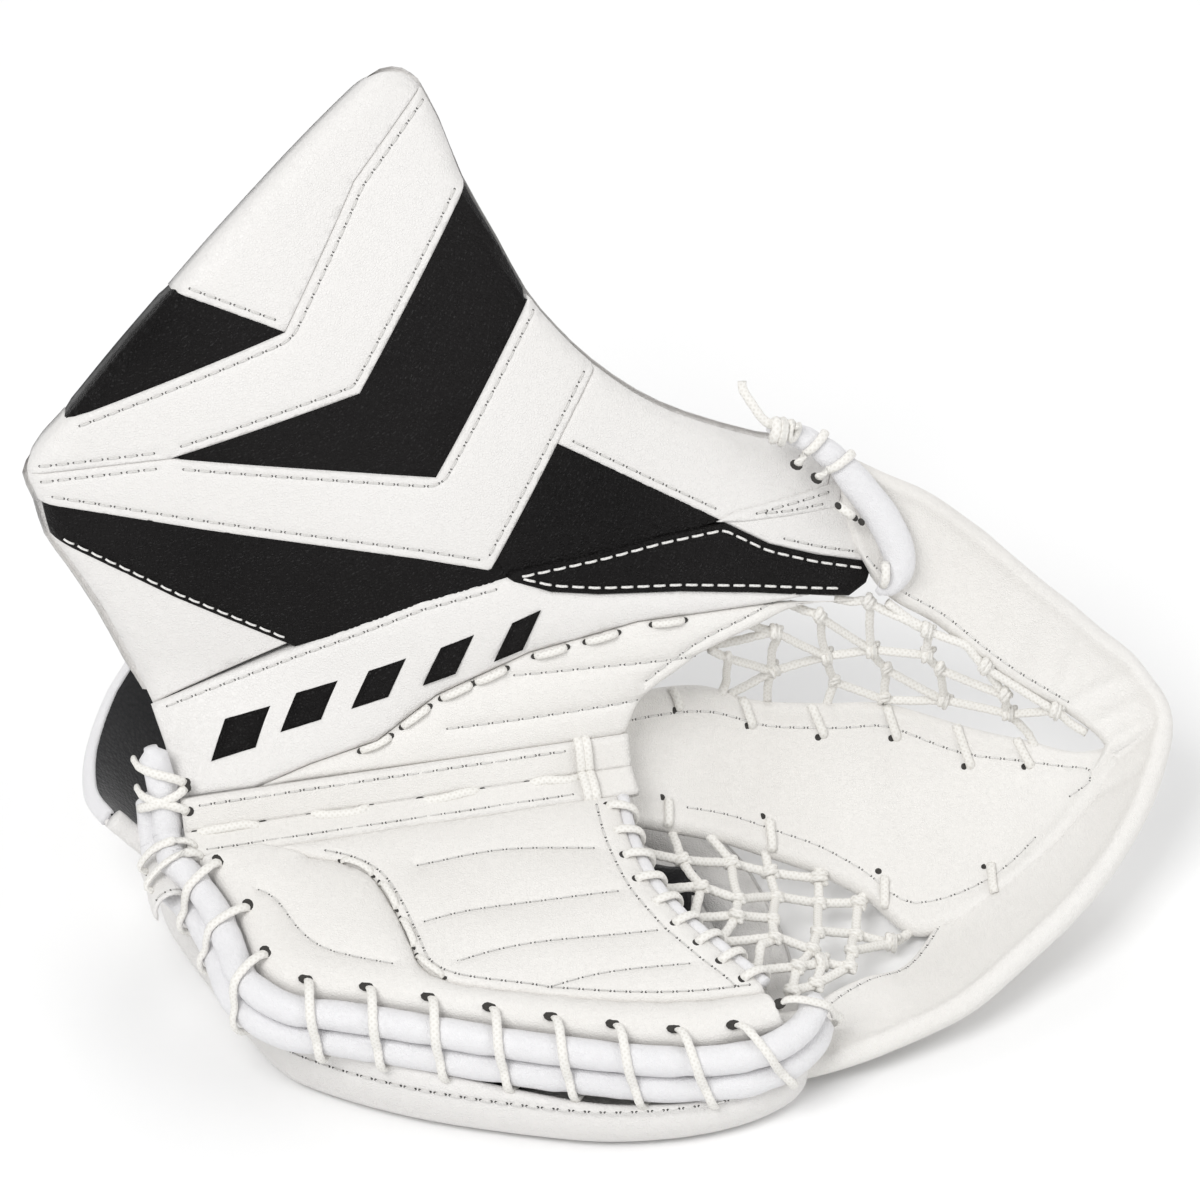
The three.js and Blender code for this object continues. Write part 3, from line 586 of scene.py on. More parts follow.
def ring_faces(rows, columns, start=0, closed=False):
    """Faces between rings of points, with the ends capped unless the last ring meets the first."""
    faces = []
    for i in range(rows if closed else rows - 1):
        this = start + i * columns
        after = start + (i + 1) % rows * columns
        for j in range(columns):
            m = (j + 1) % columns
            faces.append((this + j, this + m, after + m, after + j))
    if not closed:
        last = start + (rows - 1) * columns
        faces.append(tuple(range(start, start + columns))[::-1])
        faces.append(tuple(range(last, last + columns)))
    return faces


def loft(name, sections, material, body, closed=False, **more):
    """A skin through closed rings of points. Its ends are capped unless the path itself is closed."""
    rings = np.asarray(sections, float)
    faces = ring_faces(*rings.shape[:2], closed=closed)
    make(name, rings.reshape(-1, 3), faces, material, body, **more)


def swept(path, width, height=None, up=None, sides=10):
    """Rings of an ellipse along a path, with its width across the up direction."""
    p = np.asarray(path, float)
    along = unit(np.gradient(p, axis=0))
    if up is None:
        reference = np.array([0.31, 0.2, 0.93])
        ups = [np.cross(np.cross(along[0], reference), along[0])]
        for tangent in along[1:]:
            ups.append(unit(ups[-1] - tangent * (ups[-1] @ tangent)))
        up = np.array(ups)
    side = unit(np.cross(along, np.broadcast_to(np.asarray(up, float), p.shape)))
    ups = unit(np.cross(side, along))
    angle = np.linspace(0, 2 * math.pi, sides, endpoint=False)
    widths = np.broadcast_to(np.asarray(width, float), len(p))
    heights = widths if height is None else np.broadcast_to(np.asarray(height, float), len(p))
    across = np.cos(angle)[None, :, None] * (side * widths[:, None])[:, None, :]
    out = np.sin(angle)[None, :, None] * (ups * heights[:, None])[:, None, :]
    return p[:, None, :] + across + out


def tubes(name, parts, material, body, **more):
    """Several swept tubes in one object, each a closed solid with UVs along and round it."""
    points, faces, uvs, offset = [], [], [], 0
    for rings in parts:
        rows, columns = rings.shape[:2]
        length = measured(rings.mean(1))
        points.append(rings.reshape(-1, 3))
        round_uv = np.linspace(0, 2, columns, endpoint=False)
        uvs.append(stack(length[:, None] * 0.6, round_uv[None, :]).reshape(-1, 2))
        faces += ring_faces(rows, columns, offset)
        offset += rows * columns
    make(name, np.vstack(points), faces, material, body, uv=np.vstack(uvs), **more)


def roll(name, path, radius, out, body, flatness=1.0, sides=20, **more):
    """A rolled binding along a path, flattened in the direction out."""
    tubes(name, [swept(path, radius, radius * flatness, up=out, sides=sides)], ROLLED, body, **more)


# ---- lines on surfaces: each row holds a place and the direction out of the surface ----
def on(surface, path, level=0.0):
    """A flat path lifted onto a surface, with the directions out of it there."""
    step = 0.6
    x, t = np.asarray(path, float)[:, :2].T
    base = surface(x, t)
    normal = unit(np.cross(surface(x + step, t) - base, surface(x, t + step) - base))
    height = level(x, t) if callable(level) else level
    return np.hstack([base + normal * np.broadcast_to(height, len(x))[:, None], normal])


def facing(points, out):
    """Rows of the points with one direction for all of them."""
    return np.hstack([points, np.broadcast_to(out, np.shape(points))])


# ---- sewing ----
NEEDLE_HOLE = 0.5


def punched(name, dots, body, radius, bends=None, stretch=1.0):
    """Dark dished spots that read as holes, lying on the surface: their dark colour is painted shade for the
    inside of each hole.
    """
    sides, points, faces = 10, [], []
    for spot, out, way in dots:
        across = np.cross(out, way)
        faces += ring_faces(3, sides, len(points))
        for ring, rise in ((1.0, -0.3), (0.85, 0.07), (0.4, 0.1)):
            for angle in np.arange(sides) * 2 * math.pi / sides:
                flat = math.cos(angle) * way * stretch + math.sin(angle) * across
                points.append(spot + radius * ring * flat + out * rise)
    make(name, np.array(points), faces, HOLE_SHADE, body, bends=bends)


def sewing(name, lines, body, thread=GREY_THREAD, pitch=5.6, length=4.1, radius=0.3, bends=None, holes=True):
    """Rows of stitches: each is a short thread that rises between two needle holes."""
    threads, dots = [], []
    for line in lines:
        total = measured(line)[-1]
        count = max(1, int(total / pitch))
        for k in range(count):
            part = np.linspace(-0.5, 0.5, 7)
            rows = sample(line, (k + 0.5) * total / count + part * length)
            rise = radius * (1.0 - 5.2 * part ** 2)
            path = rows[:, :3] + rows[:, 3:] * rise[:, None]
            threads.append(swept(path, radius, radius * 0.85, up=rows[:, 3:], sides=6))
            way = unit(rows[-1, :3] - rows[0, :3])
            dots.extend((rows[end, :3], rows[end, 3:], way) for end in (0, -1))
    tubes(name, threads, thread, body, bends=bends)
    if holes:
        punched(name + "_holes", dots, body, NEEDLE_HOLE, bends=bends)


def sewn(name, outline, surface, relief, thickness, material, body, rows, seams=(), stitches=None,
         stitching=None, **more):
    """Draped leather that is sewn along rows. Along the other seams no thread shows."""
    top = drape(name, outline, surface, relief, thickness, material, body, seams=[*rows, *seams], **more)
    if rows:
        lines = [on(surface, line, top) for line in rows]
        sewing(stitches or name + "_stitches", lines, body, **(stitching or {}))
    return top


# ---- laces ----
LACE_WIDE = 1.75
LACE_FLAT = 1.15


def lace(rows, wide=LACE_WIDE, flat=LACE_FLAT, per_span=8):
    """One flattened lace through rows of a place and the way its flat side faces."""
    line = spline(rows, per_span)
    length = measured(line)[-1]
    line = sample(line, np.linspace(0, length, max(4, int(length / 1.5))))
    jitter = 1 + 0.05 * np.sin(np.arange(len(line)) * 2.1)
    return swept(line[:, :3], wide * jitter, flat * jitter, up=line[:, 3:])


def knot(place, along_lace, out, size=1.0):
    """A lace wrapped twice round a crossing."""
    side = np.cross(out, along_lace)
    turns = np.linspace(0, 2 * math.pi * 2.1, 22)
    reach = 2.1 * size
    path = (place + np.outer(np.cos(turns) * reach * 1.05, side) + np.outer(np.sin(turns) * reach * 0.8, out)
            + np.outer((turns / turns[-1] - 0.5) * 3.6 * size, along_lace))
    return swept(path, 1.25 * size, 1.0 * size, sides=8)


def seam_laces(name, line, starts, length, body):
    """Short laces along a seam, each up out of one hole and down the next."""
    runs, dots = [], []
    for start in starts:
        rows = sample(line, start + np.array([-0.06, 0.02, 0.2, 0.5, 0.8, 0.98, 1.06]) * length)
        rows[:, :3] += rows[:, 3:] * np.array([-1.6, 0.6, 1.5, 1.7, 1.5, 0.6, -1.6])[:, None]
        runs.append(lace(rows, 1.35, 0.85))
        way = unit(rows[4, :3] - rows[2, :3])
        dots += [(rows[end, :3] + rows[end, 3:] * 1.5, rows[end, 3:], way) for end in (0, -1)]
    tubes(name, runs, LACE, body)
    punched(name + "_holes", dots, body, 1.2, stretch=1.3)


def pinched(lengths, places, wide, deep, reach=2.6):
    """The radius of a roll that its laces pull in."""
    pinch = sum(np.exp(-((lengths - place) / reach) ** 2) for place in places)
    return wide * (1 - deep * pinch + 0.02 * np.sin(lengths / 5.3) + 0.012 * np.sin(lengths / 2.1))


def wrap(ring, centre, route, where, slant):
    """Rows of a lace that goes round a roll: its route is (out, level) pairs about the roll's centre."""
    rows = []
    for i, (out, level) in enumerate(route):
        along = where + slant * i / (len(route) - 1)
        place = ring(along, out, level)
        rows.append(np.r_[place, unit(place - ring(along, *centre))])
    return rows


# ==== thumb half: the cuff ====
CUFF_TOP_RIGHT = (-40, 263)
WEDGE_TOP = (-142, 201)
WEDGE_TIP = (-103, 181)
WEDGE_LOW = (-186, 157)
CUFF_HEEL = (-201, 138)
CHEVRON_SEAM = (-149, 139)
CHEVRON_FOLD = (-71, 232)
V_TOP = (-28, 226)
V_OUTER = (-78, 155)
V_INNER = (-53, 120)
V_RIGHT = (-9, 182)
CHEVRON_RIGHT = (13, 153)
CHEVRON_FOOT = (-36, 82)
CHEVRON_TOE = (-6, 126)
LOWER_LEFT = (-198, 127)
LOWER_END = (-195, 113)
HEEL_SEAM = (-152, 85)
HEEL_LOW = (-110, 61)
BAND_HEEL = (-164, 44)
BAND_RISE = (-63, 74)
BAND_TOP = (-30, 79)
BLACK_POINT = (55, 87)
THUMB_SHOULDER = (74, 116)
TIP_SHOULDER = (98, 92)
TIP_EDGE = (103, 104)
WELT_END = (113, 62)
BAND_END = (110, 50)
SEAM_LEFT = (-158, 12.3)
SEAM_LINE = [(-132, 12.3), (-110, 18), (-84, 23), (-60, 37), (-24, 49), (18, 55), (70, 54)]
THUMB_CORNERS = [CUFF_TOP_RIGHT, (-34, 248), V_TOP, (-18, 203), V_RIGHT, (1, 167), CHEVRON_RIGHT, (29, 139),
                 (47, 128), THUMB_SHOULDER, (91, 111), TIP_EDGE, (115, 91), (119, 76), WELT_END]
HEEL_CORNERS = [CUFF_TOP_RIGHT, (-46, 268), (-55, 269), (-66, 263), (-92, 244), (-120, 221), WEDGE_TOP,
                (-165, 179), WEDGE_LOW, (-196, 147), CUFF_HEEL, LOWER_LEFT, LOWER_END, (-188, 100),
                (-179, 82), (-171, 62), BAND_HEEL]
HEEL_EDGE = spline(HEEL_CORNERS, 6)
THUMB_EDGE = spline(THUMB_CORNERS, 6)
FREE_EDGE = np.vstack([spline(HEEL_CORNERS[::-1], 6), THUMB_EDGE])
WRAP = 6.0  # how far the leather has turned round the free edge
HEM = (FREE_EDGE, 9.5)
CUFF_LEATHER = 2.0
OVERLAY = 1.1  # white chevrons lie on top of the black leather


def wrapped(x, t):
    """The leather turns down round the free edge of the cuff and thumb."""
    return -rounding(distance_to(stack(x, t), FREE_EDGE), WRAP)


def cuff_relief(lift, puff=0.5):
    def relief(x, t, edge):
        wave = 0.25 * np.sin(x / 17 + t / 29) * np.sin(t / 21 - x / 37)
        return crowned(lift, puff, 9)(x, t, edge) + wave + wrapped(x, t)
    return relief


def stretch_of(path, start, end):
    """The stretch of a smooth path between the places nearest to two points, without its ends."""
    ends = [int(np.argmin(np.linalg.norm(path - np.asarray(p), axis=1))) for p in (start, end)]
    piece = path[min(ends) + 1:max(ends)]
    return piece if ends[0] <= ends[1] else piece[::-1]


def heel_edge(start, end):
    return stretch_of(HEEL_EDGE, start, end)


def thumb_edge(start, end):
    return stretch_of(THUMB_EDGE, start, end)


# Each panel: its material, how far it stands out, its stitch rows and its outline.
PANELS = {
    "cuff_top_panel": (
        WHITE, 0.9, [row([WEDGE_TOP, WEDGE_TIP], -3.2)],
        [CUFF_TOP_RIGHT, *heel_edge(CUFF_TOP_RIGHT, WEDGE_TOP), WEDGE_TOP, WEDGE_TIP, CHEVRON_FOLD]),
    "cuff_wedge_inlay": (
        BLACK, 0.0, [],
        [(-138, 204), (-98, 184), (-100, 177), (-189, 153), *heel_edge(WEDGE_LOW, WEDGE_TOP)]),
    "cuff_outer_chevron": (
        WHITE, OVERLAY, [row([CUFF_TOP_RIGHT, CHEVRON_FOLD, WEDGE_TIP, WEDGE_LOW], -3.4),
                         row([CHEVRON_SEAM, V_OUTER, V_TOP], -3.4), row([CUFF_HEEL, CHEVRON_SEAM], -3.0)],
        [CUFF_TOP_RIGHT, CHEVRON_FOLD, WEDGE_TIP, WEDGE_LOW, *heel_edge(WEDGE_LOW, CUFF_HEEL), CUFF_HEEL,
         CHEVRON_SEAM, V_OUTER, V_TOP, *thumb_edge(V_TOP, CUFF_TOP_RIGHT)]),
    "cuff_black_chevron": (
        BLACK, 0.0, [],
        [(-31, 230), (-82, 158), (-146, 143), (-146, 136), (-51, 116), (-12, 178),
         *thumb_edge(V_RIGHT, V_TOP)]),
    "cuff_inner_chevron": (
        WHITE, OVERLAY, [row([CHEVRON_SEAM, V_INNER, V_RIGHT], 3.4),
                         row([LOWER_LEFT, (-141, 111), (-62, 90), CHEVRON_FOOT], -3.6),
                         row([CHEVRON_FOOT, CHEVRON_TOE, CHEVRON_RIGHT], -3.4),
                         row([CUFF_HEEL, CHEVRON_SEAM], 3.0)],
        [CUFF_HEEL, CHEVRON_SEAM, V_INNER, V_RIGHT, *thumb_edge(V_RIGHT, CHEVRON_RIGHT), CHEVRON_RIGHT,
         CHEVRON_TOE, CHEVRON_FOOT, (-62, 90), (-141, 111), LOWER_LEFT]),
    "cuff_lower_panel": (
        BLACK, 0.4, [],
        [(-197, 131), (-141, 114), (-62, 94), (-33, 86), (-28, 76), (-63, 70), HEEL_LOW, HEEL_SEAM,
         LOWER_END]),
    "cuff_heel_panel": (
        WHITE, -0.3, [],
        [(-193, 117), (-150, 89), (-108, 64), BAND_HEEL, *heel_edge(BAND_HEEL, LOWER_END)]),
    "thumb_black_panel": (
        BLACK, 0.0, [],
        [(-40, 80), (-9, 128), (25, 109), (58, 88), (10, 80), (-30, 76)]),
    "thumb_white_panel": (
        WHITE, 0.7, [row([CHEVRON_TOE, (25, 106), BLACK_POINT], -3.2)],
        [CHEVRON_TOE, CHEVRON_RIGHT, *thumb_edge(CHEVRON_RIGHT, TIP_EDGE), TIP_EDGE, TIP_SHOULDER,
         BLACK_POINT, (25, 106)]),
    "thumb_tip_panel": (
        WHITE, 0.9, [row([(72, 76), (90, 69), WELT_END], -3.0)],
        [BLACK_POINT, TIP_SHOULDER, TIP_EDGE, *thumb_edge(TIP_EDGE, (118, 72)), WELT_END, (90, 69),
         (72, 76)]),
}
THUMB_FOLD = shifted(spline(THUMB_CORNERS[1:9], 6), -5.5)
FOLDED = ("cuff_outer_chevron", "cuff_black_chevron", "cuff_inner_chevron", "thumb_white_panel")
for name, (material, lift, rows, outline) in PANELS.items():
    top = sewn(name, outline, face, cuff_relief(lift), CUFF_LEATHER, material, "thumb_half", rows,
               seams=[THUMB_FOLD] if name in FOLDED else [], soft=0.9, hem=HEM)
    if name == "cuff_lower_panel":
        line = on(face, row([LOWER_END, HEEL_SEAM, HEEL_LOW], -2.2), top)
        sewing(name + "_stitches", [line], "thumb_half", THREAD, radius=0.45, holes=False)

# The flap whose point lies over the thumb and tip panels.
FLAP = [(52, 87.5), (60, 90.3), (74, 91.3), (91, 92.6), (105, 94.6), (101, 84.7), (81, 84.8), (61, 86)]
flap_rows = [row([(62, 89.6), (91, 92), (103, 93.6)], 2.0), row([(66, 86.2), (81, 85), (100, 85.2)], -1.8)]
sewn("thumb_flap", FLAP, face, cuff_relief(1.9, 0.3), 1.0, WHITE, "thumb_half", flap_rows, soft=0.8,
     cell=3.0)

# The black welt is one strip that twists over itself where the band ends.
WELT_LOW = [(-30, 77), (-14, 71), (4, 67.5), (35, 64), (64, 59), (88, 54), (101.5, 51.5), (109, 55)]
WELT_HIGH = [WELT_END, (90, 69), (72, 76), BLACK_POINT, (30, 86), (6, 83.5), (-30, 81)]
WELT_STITCHING = {"thread": THREAD, "radius": 0.5, "length": 4.4, "pitch": 6.0, "holes": False}


def welt_relief(x, t, edge):
    return crowned(0.9, 1.6, 4)(x, t, edge) + wrapped(x, t)


sewn("thumb_welt", [*WELT_LOW, *WELT_HIGH], face, welt_relief, CUFF_LEATHER, BLACK, "thumb_half",
     [row(WELT_LOW[:-1], -2.6), row(WELT_HIGH, -2.8)], stitching=WELT_STITCHING, hem=HEM)

# Foam core and back cover.
BOARD_TOP = 2.3
BOARD_BOTTOM = 13.7
core_path = divided([*HEEL_EDGE[::3], HEEL_LOW, BAND_RISE, BAND_TOP, (-14, 72), (20, 66), (64, 58),
                     BAND_END, *THUMB_EDGE[::-3]], 3)
drape("cuff_foam_core", inset(core_path, 2.6), lambda x, t: face(x, t, -BOARD_TOP),
      lambda x, t, edge: -0.8 - rounding(edge, 8.0), BOARD_BOTTOM - BOARD_TOP - 1.2, FOAM, "thumb_half",
      soft=3.0, cell=12, under=lambda x, t, edge: rounding(edge, 5.0), also=["cuff_foam_board"])


def cuff_back(x, t):
    """The cuff's back, seen from behind."""
    return face(-np.asarray(x, float), t, -BOARD_BOTTOM)


back_corners = mirrored([(-196, 138), (-186, 157), (-142, 201), (-92, 242), (-55, 264), (-42, 258),
                         (-30, 222), (-10, 180), (14, 150), (47, 125), (80, 110)])
sewn("cuff_back_cover", mirrored(inset(core_path, 0.8)), cuff_back,
     lambda x, t, edge: 2.3 - rounding(edge, 5.0) + 0.4 * np.sin(x / 23) * np.sin(t / 19), 1.0, WHITE,
     "thumb_half", [shifted(spline(back_corners, 5), -6)], stitches="cuff_back_stitches", soft=1.0, cell=6,
     under=even(0))

# ==== thumb half: band, palm, thumb end ====
band_outline = [BAND_HEEL, HEEL_LOW, BAND_RISE, BAND_TOP, *WELT_LOW[1:], *SEAM_LINE[::-1], SEAM_LEFT]
band_top = sewn("cuff_palm_band", band_outline, face, crowned(1.0, 2.6, 8), 13.0, WHITE, "thumb_half",
                [row([BAND_HEEL, HEEL_LOW, BAND_RISE, BAND_TOP], 3.2)], stitches="band_stitches", soft=1.6,
                padded=0.7)

# Five plain slanted bars lie on the band.
BAR_SLANT = 8
for i in range(5):
    left = -146 + i * 27
    low = 22 + i * 6.1 + (0 if i < 1 else 1.5)
    width = 17 - i * 1.5
    bar = [(left, low), (left + width, low + 3.2), (left + width + BAR_SLANT, low + 17.5),
           (left + BAR_SLANT, low + 14)]
    drape(f"band_bar_{i + 1}", bar, face, even(3.55), 0.2, BLACK, "thumb_half", soft=0.12, cell=5,
          under=even(3.2))

WEB_EDGE = [(108, 49), (82, 51), (63, 46), (44, 40), (32, 34), (17, 25), (9, 12.3)]
thumb_rows = [row([(-63, 24), (-29, 24), (20, 25)]), row([(-36, 41), (0, 40), (44, 38)]),
              row(spline(WEB_EDGE[:-1], 4), 5.0)]
sewn("thumb_palm_pad", [*SEAM_LINE, *spline(WEB_EDGE, 4)], face, quilted(0.4, 2.2, 7, thumb_rows, 1.1, 3.0),
     18.0, PALM, "thumb_half", thumb_rows, stitches="thumb_palm_stitches", soft=2.2, padded=0.7, swells=True)
seam_laces("thumb_palm_lace", on(face, row(SEAM_LINE, 1.6), band_top), (38, 56, 74, 88, 112, 132, 158), 11,
           "thumb_half")

# ==== the rolled binding over the tip of the thumb ====
THUMB_TIP = [(74, 121), (80.5, 119), (91, 113), (100, 104.5), (108.5, 92.5), (116.5, 79), (121, 65),
             (118, 56), (111, 52)]
TIP_LEVEL = -2.4
TIP_HALF_WIDTHS = ((0, 16, 38, 60, 82, 92), (3.0, 4.8, 5.8, 6.8, 6.0, 3.6))  # against the length along it
TIP_FLATNESS = 0.66
TIP_LACES = (16, 28)
tip_flat = resample(spline(THUMB_TIP), 1)
round_tip = beside(tip_flat, -right_of(tip_flat), THUMB)
tip_where = np.arange(0, len(tip_flat) - 1, 1.4)
tip_radius = pinched(tip_where, np.array(TIP_LACES) + 4, np.interp(tip_where, *TIP_HALF_WIDTHS), 0.10)
tip_radius *= np.clip((tip_where + 2) / 5, 0.4, 1) * np.clip((tip_where[-1] + 2 - tip_where) / 6, 0.35, 1)
roll("thumb_end_binding", round_tip(tip_where, 0, TIP_LEVEL), tip_radius, THUMB_OUT, "thumb_half",
     flatness=TIP_FLATNESS, sides=24)


def over_tip(where):
    """The route of a lace out of a hole, over the tip's binding and behind it."""
    half = np.interp(where, *TIP_HALF_WIDTHS)
    wide, tall = half + 1.0, half * TIP_FLATNESS + 1.0
    angles = np.radians([150, 125, 95, 60, 25, -15, -50])
    over = [(math.cos(a) * wide, TIP_LEVEL + math.sin(a) * tall) for a in angles]
    return [(-9.6, 0.2), (-8.0, 1.9), *over]


def along_tip(where):
    return unit(round_tip(where + 3, 0, 0) - round_tip(where - 3, 0, 0))


tip_laces = [lace(wrap(round_tip, (0, TIP_LEVEL), over_tip(where), where, 6)) for where in TIP_LACES]
way = along_tip(6)
tip_laces.append(knot(round_tip(4, 0, 2.6), way, THUMB_OUT, 1.7))
tip_laces.append(knot(round_tip(8, 1, 2.0), THUMB_OUT * 0.6 + way * 0.8, THUMB_OUT * 0.8 - way * 0.6, 1.3))
tail = [round_tip(4, 1, 2.5), round_tip(0, 3, 3) - way * 3, round_tip(0, 8, 3) - way * 9,
        round_tip(0, 12, 2) - way * 13, round_tip(0, 15, 2) - way * 14]
tip_laces.append(lace(facing(tail, THUMB_OUT)))
for start, end in (((98, 88.5), (103.5, 83.5)), ((114.5, 64), (113, 55))):
    flat = np.linspace(start, end, 5)
    run = THUMB(flat[:, 0], flat[:, 1], [0.3, 2.4, 2.8, 2.4, 0.3])
    tip_laces.append(lace(facing(run, THUMB_OUT)))
tubes("thumb_end_lace", tip_laces, LACE, "thumb_half")
tip_holes = [(round_tip(where, -10.0, 1.15), THUMB_OUT, along_tip(where)) for where in TIP_LACES]
punched("thumb_end_holes", tip_holes, "thumb_half", 1.9, stretch=1.4)
flap_holes = [(THUMB(*place), THUMB_OUT, along_tip(50))
              for place in ((97.6, 88.8, 2.9), (104, 83, 1.2), (106.5, 81, 1.2))]
punched("thumb_flap_holes", flap_holes, "thumb_half", 1.2, stretch=1.4)

# ==== the break: two flaps of palm leather that fold on the break line ====
STRIP_X = (-160, 10)
FLAP_THICK = 2.6
FLAP_REACH = np.array([0, 1.5, 4, 7, 10, 12.6])  # across a flap, out from the fold
FLAP_SIDES = (("thumb", THUMB, 1, BREAK_TO_THUMB), ("finger", FINGER, -1, FINGER_TO_BREAK))
CROTCH_LACES = (-9.4, -6.4)
for name, place, side, bends in FLAP_SIDES:
    sections = []
    for x in np.linspace(*STRIP_X, 72):
        level = 0.9 - 0.5 * FLAP_REACH / FLAP_REACH[-1] + 0.15 * np.sin(x / 4.7 + FLAP_REACH)
        upper = place(x, side * FLAP_REACH, level)
        upper[0] = POCKET(x, 0, 0.9)
        lower = place(x, side * FLAP_REACH, -FLAP_THICK)
        lower[0] = POCKET(x, 0, -FLAP_THICK)
        sections.append(np.vstack([upper, lower[::-1]])[::side])
    loft("break_strip_" + name, sections, PALM, "pocket", bends=bends,
         also=["break_strip"] if name == "thumb" else [])
    stitch_row = on(place, [(x, side * 9.6) for x in np.linspace(-154, -14, 40)], 0.52)
    sewing("break_" + name + "_stitches", [stitch_row], "pocket", bends=bends)
    # At the crotch a doubled lace ties the edges of the two flaps.
    crotch = []
    for x in CROTCH_LACES:
        over = place(x, side * np.array([4, 9, 12.4, 13.8]), [2.7, 2.6, 1.7, -1.6])
        crotch.append(lace(facing([POCKET(x, 0, 2.4), *over], POCKET_OUT)))
    tubes("crotch_lace_" + name, crotch, LACE, "pocket", bends=bends)

# The lace that holds the halves together dives in and out of both flaps.
BREAK_RUNS = [(-155, -132), (-112, -91), (-70, -49), (-29, -9)]
break_laces, break_holes = [], []
for start, end in BREAK_RUNS:
    xs = np.array([start - 1, start + 0.5, start + 5, (start + end) / 2, end - 5, end - 0.5, end + 1])
    run = POCKET(xs, -1.5 + 0.8 * np.sin(xs), [-2.5, 0.9, 1.9, 2.1, 1.9, 0.9, -2.5])
    break_laces.append(lace(facing(run, POCKET_OUT)))
    break_holes += [(POCKET(x, -1.5, 1.0), POCKET_OUT, ALONG_X) for x in (start - 1.2, end + 1.2)]
tubes("break_lace", break_laces, LACE, "pocket")
punched("break_holes", break_holes, "pocket", 1.9, stretch=1.5)

# ==== the T ====
# Its edges are places on the pocket's plane, with their levels over it.
SHAFT_THUMB_EDGE = [(0, 27, -9), (14, 31, -13), (46, 31, -20), (70, 23, -27), (95, 19, -30), (119, 15, -30),
                    (152, 0, -28), (170, -8, -24), (186, -16, -19), (200, -18, -12)]
SHAFT_MIDDLE = [(-4, 3, -9), (12, 4, -14), (47, 2, -26), (68, -6, -32), (90, -14, -35), (112, -24, -35),
                (138, -36, -31), (162, -32, -24), (188, -24, -16), (201, -21, -11)]
SHAFT_FINGER_EDGE = [(-5, -17, -9), (8, -19, -12), (44, -28, -22), (61, -35, -27), (83, -46, -29),
                     (97, -58, -27), (113, -76, -18), (150, -63, -13), (190, -34, -9), (202, -24, -8)]
UPPER_ARM_OUTER = [(102, 100, 38), (118, 90, 36), (136, 80, 32), (152, 67, 26), (162, 57, 23),
                   (176, 43.5, 17.5), (188, 33, 12.5), (198, 23, 8.4), (209, 12.5, 5), (215, 3, 3),
                   (219, -6, 2), (220, -14, 1.5)]
UPPER_ARM_INNER = [(106, 64, 24), (113, 52, 21), (121, 44, 17), (136, 35, 10), (150, 21.6, 5),
                   (158, 14.6, 2), (165, 9.4, -1), (173, 4, -4), (184, -3.5, -8), (192, -11, -10),
                   (196, -17, -11), (196, -22, -10)]
LOWER_ARM_OUTER = [(30, -127, 30), (48, -128, 33), (66, -125, 34), (86, -120, 32), (112, -111, 30),
                   (137, -96, 26), (162, -80, 21), (182, -64, 15), (201, -43, 9), (213, -24, 5),
                   (218.5, -11, 2.5), (218, -2, 1.5), (214, 6, 1)]
LOWER_ARM_INNER = [(26, -100, 20), (42, -104, 25), (56, -103, 23), (66, -98, 17), (80, -93, 8),
                   (98, -90, -5), (112, -80, -17), (126, -66, -25), (145, -53, -26), (166, -42, -22),
                   (184, -30, -16), (196, -18, -11), (198, -6, -9)]
T_THICK = 7.0
# Folds across an arm near the apex: share of the length, depth and slant.
ARM_FOLDS = ((0.16, 0.7, 0.10), (0.72, 0.6, -0.08), (0.82, 1.1, 0.07), (0.90, 1.4, 0.04), (0.95, 1.0, -0.03))


def on_pocket(points):
    return POCKET(*np.array(points, float).T)


def shared(path, shares):
    """Places at shares of the length of a smooth curve through places on the pocket's plane."""
    line = resample(spline(on_pocket(path)), 1)
    return interpolated(line, np.linspace(0, 1, len(line)), shares)


